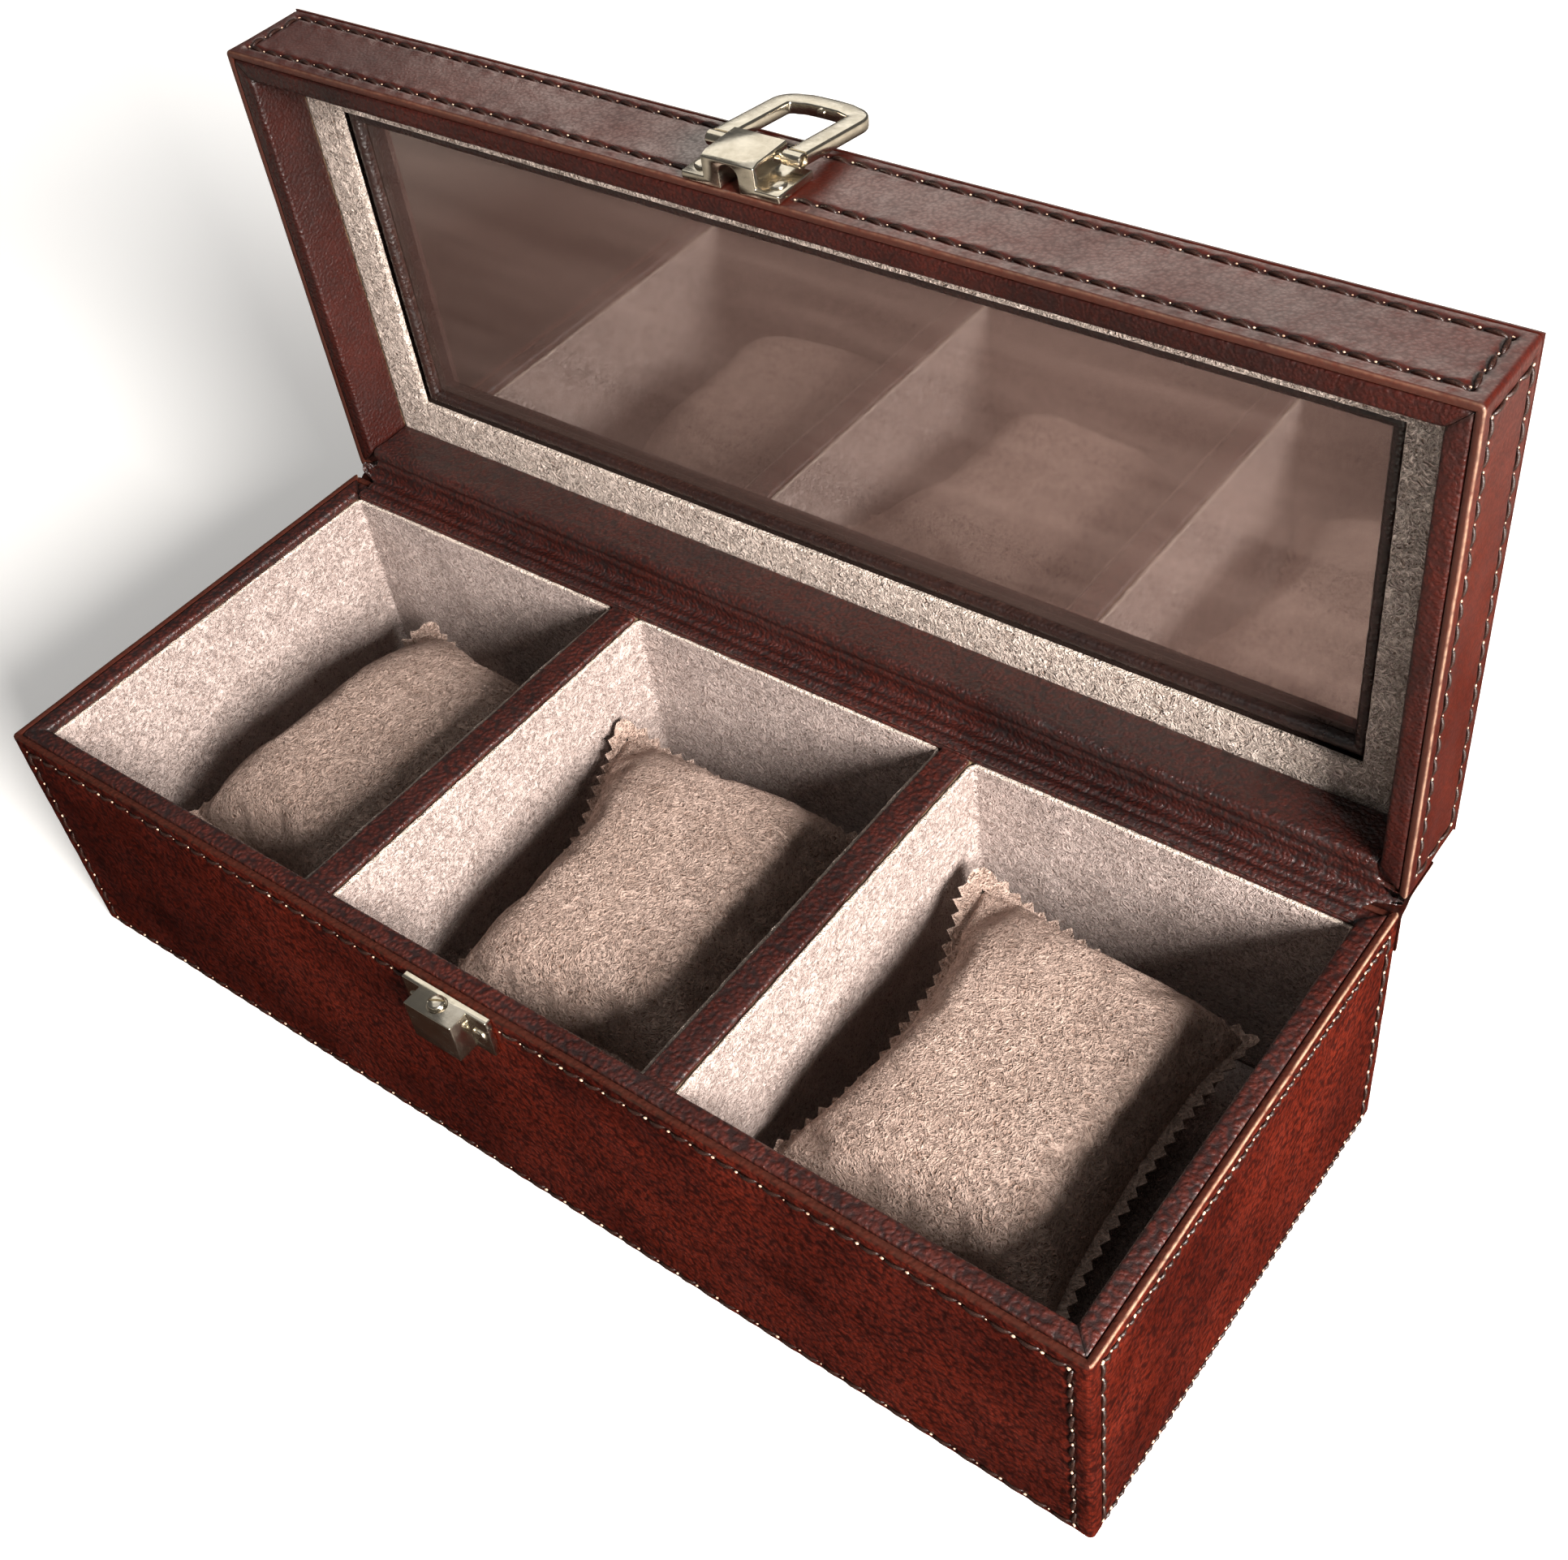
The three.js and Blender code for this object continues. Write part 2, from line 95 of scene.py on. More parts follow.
# ---- Mesh tools ----
def quarter_turns(points, turns):
    """Turns points about Z by a number of right angles."""
    x, y, z = np.moveaxis(np.asarray(points, float), -1, 0)
    for _ in range(turns % 4):
        x, y = -y, x
    return np.stack([x, y, z], -1)


def stood_open(points):
    """A point of the shut lid, with its rim plane at height 0, put where the open lid is."""
    x, y, z = np.moveaxis(np.asarray(points, float), -1, 0)
    return np.stack([x, LID_RIM_Y + z, LID_BACK_Z + HALF_WIDTH - y], -1)


def as_it_is(points):
    return np.asarray(points, float)


def signed_volume(points, quads):
    a, b, c, d = (points[quads[:, k]] for k in range(4))
    return np.einsum("ij,ij->", a, np.cross(b, c)) + np.einsum("ij,ij->", a, np.cross(c, d))


def make_object(name, points, faces, material, sharp=35, marks=None):
    """A mesh object from millimetre points. marks holds named values per point, used by the materials."""
    mesh = bpy.data.meshes.new(name)
    mesh.from_pydata((np.asarray(points) * MM).tolist(), [], faces)
    mesh.validate()
    mesh.shade_smooth()
    if sharp:
        mesh.set_sharp_from_angle(angle=math.radians(sharp))
    for key, values in (marks or {}).items():
        mesh.attributes.new(key, "FLOAT", "POINT").data.foreach_set("value", np.ravel(values))
    obj = bpy.data.objects.new(name, mesh)
    bpy.context.scene.collection.objects.link(obj)
    obj.data.materials.append(material)
    return obj


def loft(name, sections, material, ring=False, sharp=35, marks=None):
    """Joins closed sections, one per row, into a closed skin. ring joins the last row to the first."""
    sections = np.asarray(sections, float)
    rows, columns = sections.shape[:2]
    row = np.arange(rows if ring else rows - 1)[:, None]
    column = np.arange(columns)[None, :]
    after, beside = (row + 1) % rows, (column + 1) % columns
    corners = (row * columns + column, row * columns + beside, after * columns + beside, after * columns + column)
    quads = np.stack(np.broadcast_arrays(*corners), -1).reshape(-1, 4)
    points = sections.reshape(-1, 3)
    caps = []
    if not ring:
        caps = [list(range(columns))[::-1], list(range((rows - 1) * columns, rows * columns))]
    if signed_volume(points, quads) < 0:
        quads = quads[:, ::-1]
        caps = [cap[::-1] for cap in caps]
    return make_object(name, points, quads.tolist() + caps, material, sharp, marks)


def copies(name, template, faces, places, material, sharp=None):
    """One mesh holding the template at each place; a place is a function of template points."""
    points, polygons = [], []
    for place in places:
        start = len(points) * len(template)
        points.append(place(template))
        polygons.extend([[start + k for k in face] for face in faces])
    return make_object(name, np.concatenate(points), polygons, material, sharp)


def arc(centre, radius, start, end, count):
    """Points on an arc, angles in degrees; radius may be one number or two."""
    across, up = np.broadcast_to(radius, 2)
    angles = np.radians(np.linspace(start, end, count))
    return [(centre[0] + across * math.cos(a), centre[1] + up * math.sin(a)) for a in angles]


def ripple(a, b, size, seed):
    """A smooth uneven height, about -1 to 1, with hollows of about the given size."""
    draw = np.random.default_rng(seed)
    total = 0
    for _ in range(7):
        heading, phase = draw.uniform(0, 2 * math.pi, 2)
        wave = 2 * math.pi / size * draw.uniform(0.6, 1.6)
        total = total + np.sin(wave * (a * math.cos(heading) + b * math.sin(heading)) + phase)
    return total / 4


def wall_stations(radius, count, corner_steps=5, reach=44.7):
    """Share along the straight part and angle round the corner, from one corner's middle to the other's."""
    share = np.linspace(-1, 1, count)
    angle = np.zeros(count)
    if radius:
        turn = np.radians(np.linspace(reach, 0, corner_steps + 1)[:-1])
        share = np.concatenate([-np.ones(corner_steps), share, np.ones(corner_steps)])
        angle = np.concatenate([-turn, angle, turn[::-1]])
    return share, angle


def wall_points(run, reach, radius, share, angle, depth, out, up):
    """Points of one wall seen as a front wall. depth is measured in from its face, out is relief off it."""
    share, angle = share[:, None], angle[:, None]
    bend = radius - depth + out
    flat = run - np.maximum(radius, depth)
    x = share * flat + bend * np.sin(angle) * (radius > 0)
    y = -reach + radius - bend * np.cos(angle)
    return np.stack(np.broadcast_arrays(x, y, up), -1)


def wall_run(run, radius, share, angle):
    """Distance along the wall's face at each station."""
    return share * (run - radius) + radius * angle


def ring_sections(half_x, half_y, radius, step, profile, relief=None):
    """The profile of (depth, up) points carried round a rectangle, as the sections of a ring."""
    depth, up = np.array(profile, float).T[:, None, :]
    rows = []
    for turn, (run, reach) in enumerate([(half_x, half_y), (half_y, half_x)] * 2):
        share, angle = wall_stations(radius, max(3, int(2 * run / step)), 4, 45)
        share, angle = share[:-1], angle[:-1]
        out = 0 * share[:, None] * depth
        if relief:
            out = relief(wall_run(run, radius, share, angle)[:, None], depth, up, turn)
        rows.append(quarter_turns(wall_points(run, reach, radius, share, angle, depth, out, up), turn))
    return np.concatenate(rows)


# ---- Materials ----
class Look:
    """A procedural material on the Principled shader. Sizes are in millimetres."""

    def __init__(self, name, roughness=0.5, metallic=0.0):
        self.material = bpy.data.materials.new(name)
        self.material.use_nodes = True
        self.tree = self.material.node_tree
        self.shader = self.tree.nodes["Principled BSDF"]
        self.where = self.tree.nodes.new("ShaderNodeTexCoord").outputs["Object"]
        self.set("Roughness", roughness)
        self.set("Metallic", metallic)

    def set(self, socket, value, node=None):
        target = (node or self.shader).inputs[socket]
        if isinstance(value, bpy.types.NodeSocket):
            self.tree.links.new(value, target)
        else:
            target.default_value = value
        return self

    def node(self, kind, output, inputs, **settings):
        node = self.tree.nodes.new(kind)
        for key, value in settings.items():
            setattr(node, key, value)
        for socket, value in inputs.items():
            self.set(socket, value, node)
        return node.outputs[output]

    def noise(self, size, detail=3.0, rough=0.55, stretch=(1, 1, 1), warp=0.0):
        where = self.where
        if tuple(stretch) != (1, 1, 1):
            where = self.node("ShaderNodeMapping", "Vector", {"Vector": where, "Scale": [1 / s for s in stretch]})
        values = {"Vector": where, "Scale": 1 / (size * MM), "Detail": detail, "Roughness": rough, "Distortion": warp}
        return self.node("ShaderNodeTexNoise", "Fac", values)

    def strands(self, size, warp=2.0, width=0.08):
        """Thin curled lines: 1 along each line, 0 between them."""
        away = self.math("ABSOLUTE", self.math("SUBTRACT", self.noise(size, 1.2, 0.5, warp=warp), 0.5), 0.0)
        return self.range(away, 0.0, width, 1.0, 0.0)

    def cells(self, size, feature="SMOOTH_F1", output="Distance"):
        values = {"Vector": self.wobbled(size), "Scale": 1 / (size * MM)}
        if feature == "SMOOTH_F1":
            values["Smoothness"] = 0.6
        return self.node("ShaderNodeTexVoronoi", output, values, feature=feature)

    def wobbled(self, size):
        """Coordinates pushed about a little, so that cells don't look drawn."""
        push = self.node("ShaderNodeTexNoise", "Color", {"Vector": self.where, "Scale": 0.5 / (size * MM), "Detail": 2.0})
        push = self.node("ShaderNodeVectorMath", 0, {0: push, 1: (0.5, 0.5, 0.5)}, operation="SUBTRACT")
        push = self.node("ShaderNodeVectorMath", 0, {0: push, "Scale": size * MM}, operation="SCALE")
        return self.node("ShaderNodeVectorMath", 0, {0: self.where, 1: push}, operation="ADD")

    def range(self, value, from_low, from_high, to_low=0.0, to_high=1.0):
        ends = {"Value": value, "From Min": from_low, "From Max": from_high, "To Min": to_low, "To Max": to_high}
        return self.node("ShaderNodeMapRange", "Result", ends)

    def math(self, operation, a, b):
        return self.node("ShaderNodeMath", 0, {0: a, 1: b}, operation=operation)

    def mark(self, name):
        return self.node("ShaderNodeAttribute", "Fac", {}, attribute_name=name)

    def mix(self, share, a, b, kind="MIX"):
        values = {"Factor": share, 6: colour(a), 7: colour(b)}
        return self.node("ShaderNodeMix", 2, values, data_type="RGBA", blend_type=kind)

    def bump(self, height, depth, strength=1.0, under=None):
        values = {"Height": height, "Distance": depth * MM, "Strength": strength}
        if under is not None:
            values["Normal"] = under
        return self.node("ShaderNodeBump", "Normal", values)


def colour(value):
    """Takes a socket as it is, or three sRGB numbers from 0 to 255."""
    if isinstance(value, bpy.types.NodeSocket):
        return value
    linear = [((v / 255 + 0.055) / 1.055) ** 2.4 if v > 10 else v / 255 / 12.92 for v in value]
    return (*linear, 1.0)


def leather_look(name, deep, warm, pebble, depth, roughness, cut=(98, 68, 58), shine=0.5, fleck=0.4,
                 mottle=0.4):
    """Waxed leather: pebbled grain, fine pores, warm and dark drifts of dye, paler cut edges, convex edges paler as
    wear and as a painted highlight, a cream painted highlight where the 'edge' mark is set and near-black painted shade
    where the 'shade' mark is set.
    """
    look = Look(name)
    drift = look.range(look.noise(38, 4, 0.6), 0.3, 0.72)
    blotch = look.range(look.noise(6, 5, 0.65), 0.3, 0.75)
    grain = look.range(look.cells(pebble), 0.05, 0.75)
    pores = look.noise(pebble * 0.35, 3, 0.6)
    dye = look.mix(drift, deep, warm)
    dye = look.mix(look.math("MULTIPLY", blotch, 0.35), dye, look.mix(1.0, dye, (150, 120, 110), "MULTIPLY"))
    creases = look.range(look.math("ADD", grain, look.math("MULTIPLY", pores, 0.5)), 0.55, 1.25)
    dye = look.mix(look.math("MULTIPLY", creases, mottle), dye, look.mix(1.0, dye, (95, 80, 78), "MULTIPLY"))
    bend = look.node("ShaderNodeNewGeometry", "Pointiness", {})
    # Convex edges paler: partly wear, partly a painted highlight.
    worn_and_highlit = look.math("MULTIPLY", look.range(bend, 0.52, 0.62), look.range(look.noise(2.2, 4), 0.35, 0.75))
    dye = look.mix(look.math("MULTIPLY", worn_and_highlit, fleck), dye, cut)
    dye = look.mix(look.math("MULTIPLY", look.mark("cut"), look.range(look.noise(1.1), 0.2, 0.7, 0.6, 1.0)), dye, cut)
    # Painted highlight: a cream line where the 'edge' mark is set, partly the paler edge of the leather.
    edge = look.math("MULTIPLY", look.mark("edge"), look.range(look.noise(1.6, 4), 0.3, 0.6, 0.25, 1.0))
    dye = look.mix(edge, dye, (205, 168, 140))
    # Painted shade: near-black where the 'shade' mark is set: seam grooves and holes, mitre gaps, the hinge strips'
    # hidden sides and the base's front and back top edges.
    dye = look.mix(look.math("MULTIPLY", look.mark("shade"), 0.85), dye, (16, 6, 4))
    look.set("Base Color", dye)
    rub = look.range(look.noise(14, 4), 0.3, 0.75, roughness - 0.07, roughness + 0.1)
    look.set("Roughness", look.math("ADD", rub, look.math("MULTIPLY", creases, 0.12)))
    look.set("Specular IOR Level", shine)
    height = look.math("ADD", look.math("MULTIPLY", grain, -1.0), look.math("MULTIPLY", pores, -0.6))
    look.set("Normal", look.bump(height, depth, 1.0, look.bump(look.noise(9, 3), depth * 2.5, 0.6)))
    return look.material


def suede_look(name, nap, shade, fibre=1.8, depth=0.45, patch=7.0, contrast=0.75):
    """Short napped suede: curled fibres over a darker ground, brushed patches, paler cut edges."""
    look = Look(name, 0.95)
    curls = look.math("MAXIMUM", look.strands(fibre, 2.4, 0.19), look.strands(fibre * 0.7, 3.0, 0.17))
    fine = look.noise(fibre * 0.3, 3, 0.6)
    brushed = look.range(look.noise(patch, 4, 0.6, warp=1.2), 0.34, 0.68)
    ground = look.mix(look.math("MULTIPLY", brushed, 0.55), nap, shade)
    deep = look.mix(1.0, ground, (142, 122, 109), "MULTIPLY")
    lit = look.math("ADD", curls, look.math("MULTIPLY", look.range(fine, 0.35, 0.7), 0.25))
    dye = look.mix(look.math("MULTIPLY", look.range(lit, 0.0, 1.2, 1.0, 0.0), contrast), ground, deep)
    dye = look.mix(look.mark("cut"), dye, (232, 214, 198))
    look.set("Base Color", dye)
    look.set("Sheen Weight", 0.25).set("Sheen Roughness", 0.5).set("Sheen Tint", colour(nap))
    look.set("Specular IOR Level", 0.1)
    look.set("Normal", look.bump(lit, depth, 1.0, look.bump(brushed, 0.5, 0.5)))
    return look.material


def thread_look():
    """Waxed dark thread, its two plies twisted round each other."""
    look = Look("thread", 0.38)
    plies = look.noise(0.35, 2, 0.5, stretch=(1, 1, 0.35))
    look.set("Base Color", look.mix(look.range(plies, 0.35, 0.7), (20, 9, 6), (54, 30, 22)))
    look.set("Normal", look.bump(plies, 0.12, 0.9))
    return look.material


def under_thread_glint_look():
    """The under-thread that shows at the bottom of each hole, painted pale as a glint it catches."""
    look = Look("under_thread_glint", 0.45)
    look.set("Base Color", look.mix(look.range(look.noise(0.5), 0.3, 0.7), (216, 190, 164), (150, 112, 90)))
    return look.material


def nickel_look(name="nickel", tone=(222, 214, 198), shade=(192, 182, 164), roughness=0.17):
    """Polished warm nickel with fine scratches, smears and slightly uneven plating."""
    look = Look(name, roughness, 1.0)
    smears_and_painted_streaks = look.range(look.noise(3.5, 4, 0.6), 0.3, 0.75)
    scratches = look.noise(0.5, 3, 0.6, stretch=(7, 1, 1))
    look.set("Base Color", look.mix(smears_and_painted_streaks, tone, shade))
    look.set("Roughness", look.range(look.math("ADD", smears_and_painted_streaks, scratches), 0.5, 1.6, roughness - 0.05, roughness + 0.14))
    look.set("Normal", look.bump(look.math("ADD", scratches, look.noise(2.4)), 0.025, 0.5))
    return look.material


def board_look():
    """Grey-brown bookbinder's board with fibres and flecks."""
    look = Look("board", 0.9)
    fibres = look.noise(0.8, 5, 0.7, stretch=(3, 1, 1))
    flecks = look.range(look.cells(1.4), 0.1, 0.5)
    look.set("Base Color", look.mix(look.math("MULTIPLY", fibres, flecks), (122, 98, 72), (168, 142, 110)))
    look.set("Normal", look.bump(fibres, 0.15, 0.8))
    return look.material


def glass_look():
    """Smoky glass: it mirrors the compartments in front of it and lets a little of what is behind through."""
    look = Look("smoky_glass")
    nodes, links = look.tree.nodes, look.tree.links
    # Painted reflection: streaks long across the lid stand in for wood grain seen in the glass, in its tint, its film
    # and its mirror's roughness.
    smears_and_painted_streaks = look.range(look.noise(9, 5, 0.65, stretch=(9, 1, 1), warp=0.4), 0.35, 0.7)
    tint = look.mix(smears_and_painted_streaks, (158, 142, 136), (180, 164, 158))
    through = look.node("ShaderNodeBsdfTransparent", 0, {"Color": tint})
    film = look.node("ShaderNodeBsdfDiffuse", 0, {"Color": look.mix(smears_and_painted_streaks, (104, 82, 75), (124, 102, 94))})
    body = look.node("ShaderNodeMixShader", 0, {0: 0.3, 1: through, 2: film})
    gloss = {"Color": (1, 1, 1, 1), "Roughness": look.range(smears_and_painted_streaks, 0, 1, 0.02, 0.07)}
    mirror = look.node("ShaderNodeBsdfAnisotropic", 0, gloss)
    facing = look.node("ShaderNodeLayerWeight", "Facing", {"Blend": 0.5})
    share = look.range(facing, 0.0, 1.0, 0.08, 0.3)
    surface = look.node("ShaderNodeMixShader", 0, {0: share, 1: body, 2: mirror})
    links.new(surface, nodes["Material Output"].inputs["Surface"])
    return look.material


OUTER = leather_look("outer_leather", (50, 8, 3), (92, 26, 12), 1.0, 0.1, 0.42, cut=(64, 32, 24), shine=0.09, fleck=0.3, mottle=0.85)
LID_OUTER = leather_look("lid_leather", (52, 10, 5), (74, 24, 13), 0.7, 0.022, 0.36, cut=(64, 34, 26), shine=0.3)
RIM = leather_look("rim_leather", (48, 15, 10), (82, 31, 22), 1.05, 0.2, 0.38, shine=0.55, fleck=0.55, mottle=0.9)
# The lid's rim and the hinge strip are darker than the rim leather: painted shade, where little key light reaches.
LID_RIM = leather_look("lid_rim_leather", (34, 8, 5), (60, 18, 11), 0.8, 0.14, 0.34, shine=0.45, fleck=0.3)
HINGE = leather_look("hinge_leather", (42, 11, 7), (74, 25, 16), 0.85, 0.18, 0.32, shine=0.8, fleck=0.6, mottle=0.9)
DARK = leather_look("dark_leather", (28, 12, 9), (46, 23, 17), 0.9, 0.12, 0.28, shine=0.8)
SUEDE = suede_look("suede", (205, 187, 180), (172, 154, 146), fibre=2.4, depth=0.6, contrast=0.95)
FRAME_SUEDE = suede_look("frame_suede", (238, 220, 208), (196, 178, 166), fibre=3.0, depth=1.3, patch=4.0, contrast=1.0)
PILLOW = suede_look("pillow_suede", (201, 176, 163), (164, 139, 125), fibre=2.7, depth=0.65, patch=11.0, contrast=1.0)
UNDER_THREAD_GLINT = under_thread_glint_look()
THREAD = thread_look()
NICKEL = nickel_look()
# Dark nickel for the ring round the keeper's stud: painted shade of the gap round its head.
DARK_METAL = nickel_look("stud_gap_shade_nickel", (112, 104, 92), (66, 58, 50), 0.3)
BOARD = board_look()
GLASS = glass_look()


# ---- Seams: a groove with holes and puckers in the leather, and the stitches that lie in it ----
class Seam:
    """A straight row of stitches on a wall's face: level at a height, or upright at a place along the wall."""

    def __init__(self, level, place, start, end, pitch):
        self.level, self.place = level, place
        count = max(2, round((end - start) / pitch))
        self.holes = np.linspace(start, end, count + 1)
        self.pitch = (end - start) / count

    def relief(self, run, up):
        """How far the face stands off its plane near this seam, in millimetres; hollows are negative."""
        along, across = (run, up - self.place) if self.level else (up, run - self.place)
        past_end = np.maximum(0, np.maximum(self.holes[0] - along, along - self.holes[-1]))
        fade = np.exp(-((past_end / 0.8) ** 2))
        phase = (along - self.holes[0]) / self.pitch
        from_hole = (phase - np.round(phase)) * self.pitch
        groove = -0.34 * np.exp(-((across / 0.62) ** 2))
        hole = -0.55 * np.exp(-((across / 0.42) ** 2) - (from_hole / 0.42) ** 2)
        swell = 0.5 - 0.5 * np.cos(2 * math.pi * phase)
        pucker = (0.16 * swell - 0.06) * np.exp(-(((np.abs(across) - 1.3) / 0.8) ** 2))
        return fade * (groove + hole + pucker)

    def shade(self, run, up):
        """Painted shade in the groove and the holes."""
        along, across = (run, up - self.place) if self.level else (up, run - self.place)
        past_end = np.maximum(0, np.maximum(self.holes[0] - along, along - self.holes[-1]))
        return np.exp(-((across / 0.55) ** 2) - (past_end / 0.8) ** 2)


def tube_faces(rings, around):
    """Faces of a closed tube whose rings follow one another."""
    faces = []
    for ring in range(rings - 1):
        for k in range(around):
            beside = (k + 1) % around
            here, there = ring * around, (ring + 1) * around
            faces.append([here + k, there + k, there + beside, here + beside])
    faces.append(list(range(around)))
    faces.append(list(range((rings - 1) * around, rings * around))[::-1])
    return faces


def stitch_shape(length, radius, rings=9, around=8):
    """One stitch along X: a flattened tube that rises from its hole, lies over the leather and dives again."""
    t = np.linspace(0, 1, rings)[:, None]
    turn = 2 * math.pi * np.arange(around)[None, :] / around
    thick = radius * (0.45 + 0.55 * np.sin(math.pi * t) ** 0.5)
    rise = 0.5 * np.sin(math.pi * t) ** 0.7 - 0.42
    x = (t - 0.5) * length + 0 * turn
    y = thick * 1.12 * np.cos(turn)
    z = rise + thick * 0.85 * np.sin(turn)
    points = np.stack([x, y, z], -1).reshape(-1, 3)
    return points, tube_faces(rings, around)


def stitch_places(seams, face_of, seed):
    """Where each stitch of the seams goes; face_of turns (run, up, out) into a point of the part."""
    draw = np.random.default_rng(seed)
    places = []
    for seam in seams:
        for hole, following in zip(seam.holes[:-1], seam.holes[1:]):
            middle = (hole + following) / 2
            slant = math.radians(9) * draw.uniform(0.6, 1.4)
            stretch = (following - hole) * draw.uniform(0.76, 0.86)
            lift = draw.uniform(-0.03, 0.05)

            def place(template, seam=seam, middle=middle, slant=slant, stretch=stretch, lift=lift):
                x, y, z = template.T
                x = x * stretch
                along = middle + x * math.cos(slant) - y * math.sin(slant)
                across = seam.place + x * math.sin(slant) + y * math.cos(slant)
                run, up = (along, across) if seam.level else (across, along)
                return face_of(run, up, z + lift)

            places.append(place)
    return places


STITCH, STITCH_FACES = stitch_shape(1.0, 0.43)


def bead_shape(rings=5, around=8):
    """A small flattened ball."""
    rows = []
    for t in np.linspace(-0.5, 0.5, rings) * math.pi * 0.96:
        turn = 2 * math.pi * np.arange(around) / around
        rows.append(np.stack([np.cos(t) * np.cos(turn), np.cos(t) * np.sin(turn), 0 * turn + 0.8 * math.sin(t)], -1))
    return np.concatenate(rows), tube_faces(rings, around)


def hole_places(seams, face_of, seed, size):
    """Where the under-thread shows, at each end of each stitch, as pale beads: a painted glint."""
    draw = np.random.default_rng(seed)
    places = []
    for seam in seams:
        for hole in seam.holes:
            radius = size * draw.uniform(0.5, 1.15)
            slip = draw.uniform(-0.22, 0.22, 2)

            def place(template, seam=seam, hole=hole, radius=radius, slip=slip):
                x, y, z = (template * radius).T
                along, across = hole + slip[0] + x * 1.5, seam.place + slip[1] + y
                run, up = (along, across) if seam.level else (across, along)
                return face_of(run, up, z - 0.12)

            places.append(place)
    return places


def sew(name, seams, face_of, body, seed, bead=0.36):
    """The row of stitches for a panel, and the under-thread in its holes, painted pale as a glint."""
    stitches = copies(name, STITCH, STITCH_FACES, stitch_places(seams, face_of, seed), THREAD)
    under = copies(name + "_under", *bead_shape(), hole_places(seams, face_of, seed + 3, bead), UNDER_THREAD_GLINT)
    for piece in (stitches, under):
        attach(piece, body)


# ---- Outer leather panels ----
CORNER = 1.25
PANEL_THICKNESS = 1.2


def panel_profile(bottom, top, foot, head, face_heights):
    """(depth, up) round a panel: its thick back, its rounded foot, its face and its rounded, cut top edge."""
    inner = LEATHER - 0.05
    profile = [(PANEL_THICKNESS, top - 1.2), (PANEL_THICKNESS, bottom + foot), (inner, bottom + 0.05)]
    profile += arc((foot * 0.8, bottom + foot), (foot * 0.8, foot), 270, 180, 6)[:-1]
    profile += [(0.0, up) for up in face_heights]
    profile += arc((head, top - head), head, 180, 90, 5)
    profile += [(inner - 0.35, top - 0.03), (inner, top - 0.2), (inner, top - 1.2)]
    return profile


def face_heights(start, end, seams, step):
    """Heights up a face: closer together beside level seams, with the step elsewhere."""
    heights = set(np.round(np.arange(start, end, step), 4)) | {round(end, 4)}
    for seam in seams:
        if seam.level:
            heights |= set(np.round(seam.place + np.arange(-2.1, 2.11, 0.3), 4))
    kept = []
    for height in sorted(heights):
        if start <= height <= end and (not kept or height - kept[-1] > 0.17):
            kept.append(height)
    return kept


def panel(name, side, bottom, top, seams, seed, place, body, stands_for, foot=1.4, head=0.55, edge=0.4, bead=0.36,
          material=OUTER):
    """One outer wall's leather: rounded corners and edges, seam relief, a slight unevenness."""
    run, reach, turns = SIDES[side]
    heights = face_heights(bottom + foot, top - head, seams, 0.7)
    profile = panel_profile(bottom, top, foot, head, heights)
    depth, up = np.array(profile).T[:, None, :]
    share, angle = wall_stations(CORNER, int(2 * run / 0.62))
    along = wall_run(run, CORNER, share, angle)[:, None]
    on_face = np.clip(1 - depth / 0.9, 0, 1) * (up > bottom + 0.1)
    relief = 0.07 * ripple(along, up, 26, seed) + 0.03 * ripple(along, up, 7, seed + 1)
    shade = 0 * along * up
    for seam in seams:
        relief = relief + seam.relief(along, up)
        shade = np.maximum(shade, seam.shade(along, up))
    points = wall_points(run, reach, CORNER, share, angle, depth, relief * on_face, up + 0 * along)
    cut = np.clip((depth - 0.25) / 0.3, 0, 1) * (up > top - 0.4) + 0 * along
    points = place(quarter_turns(points, turns))
    # The rounded top edge is painted pale as a highlight by the 'edge' mark.
    rounded = np.exp(-(((depth - 0.2) / 0.14) ** 2)) * (up > top - 0.5) + 0 * along
    # Painted shade in the seams, and on the rounded top edge where the 'edge' mark is faint.
    painted_shade = np.maximum(shade * on_face, rounded * 0.7 * (edge < 0.1))
    marks = {"cut": cut, "shade": painted_shade, "edge": rounded * edge}
    obj = loft(name, points, material, sharp=50, marks=marks)
    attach(obj, body)
    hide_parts(stands_for)
    if body == "lid":
        LID_PIECES.objects.link(obj)

    def face_of(run_at, up_at, out):
        flat = np.stack([run_at, -reach - out, up_at], -1)
        return place(quarter_turns(flat, turns))

    sew(name.replace("leather", "stitching"), seams, face_of, body, seed + 2, bead)
    return obj


BASE_SEAM_TOP = BASE_TOP - 3.5
BASE_SEAM_FOOT = 2.2
SEAM_INSET = 3.9
LONG_PITCH = 5.1
UPRIGHT_PITCH = 5.4
SIDE_PITCH = 2.5


def box_seams(run, bottom, top, level_pitch, upright_pitch, inset=SEAM_INSET, gaps=()):
    """Four rows round a wall's face, leaving out stretches of the level rows where something is fixed."""
    seams = []
    ends = run - inset
    for height in (bottom, top):
        stops = [-ends]
        for gap_height, gap_start, gap_end in gaps:
            if gap_height == height:
                stops += [gap_start, gap_end]
        stops.append(ends)
        for start, end in zip(stops[::2], stops[1::2]):
            seams.append(Seam(True, height, start, end, level_pitch))
    for place in (-ends, ends):
        seams.append(Seam(False, place, bottom, top, upright_pitch))
    return seams


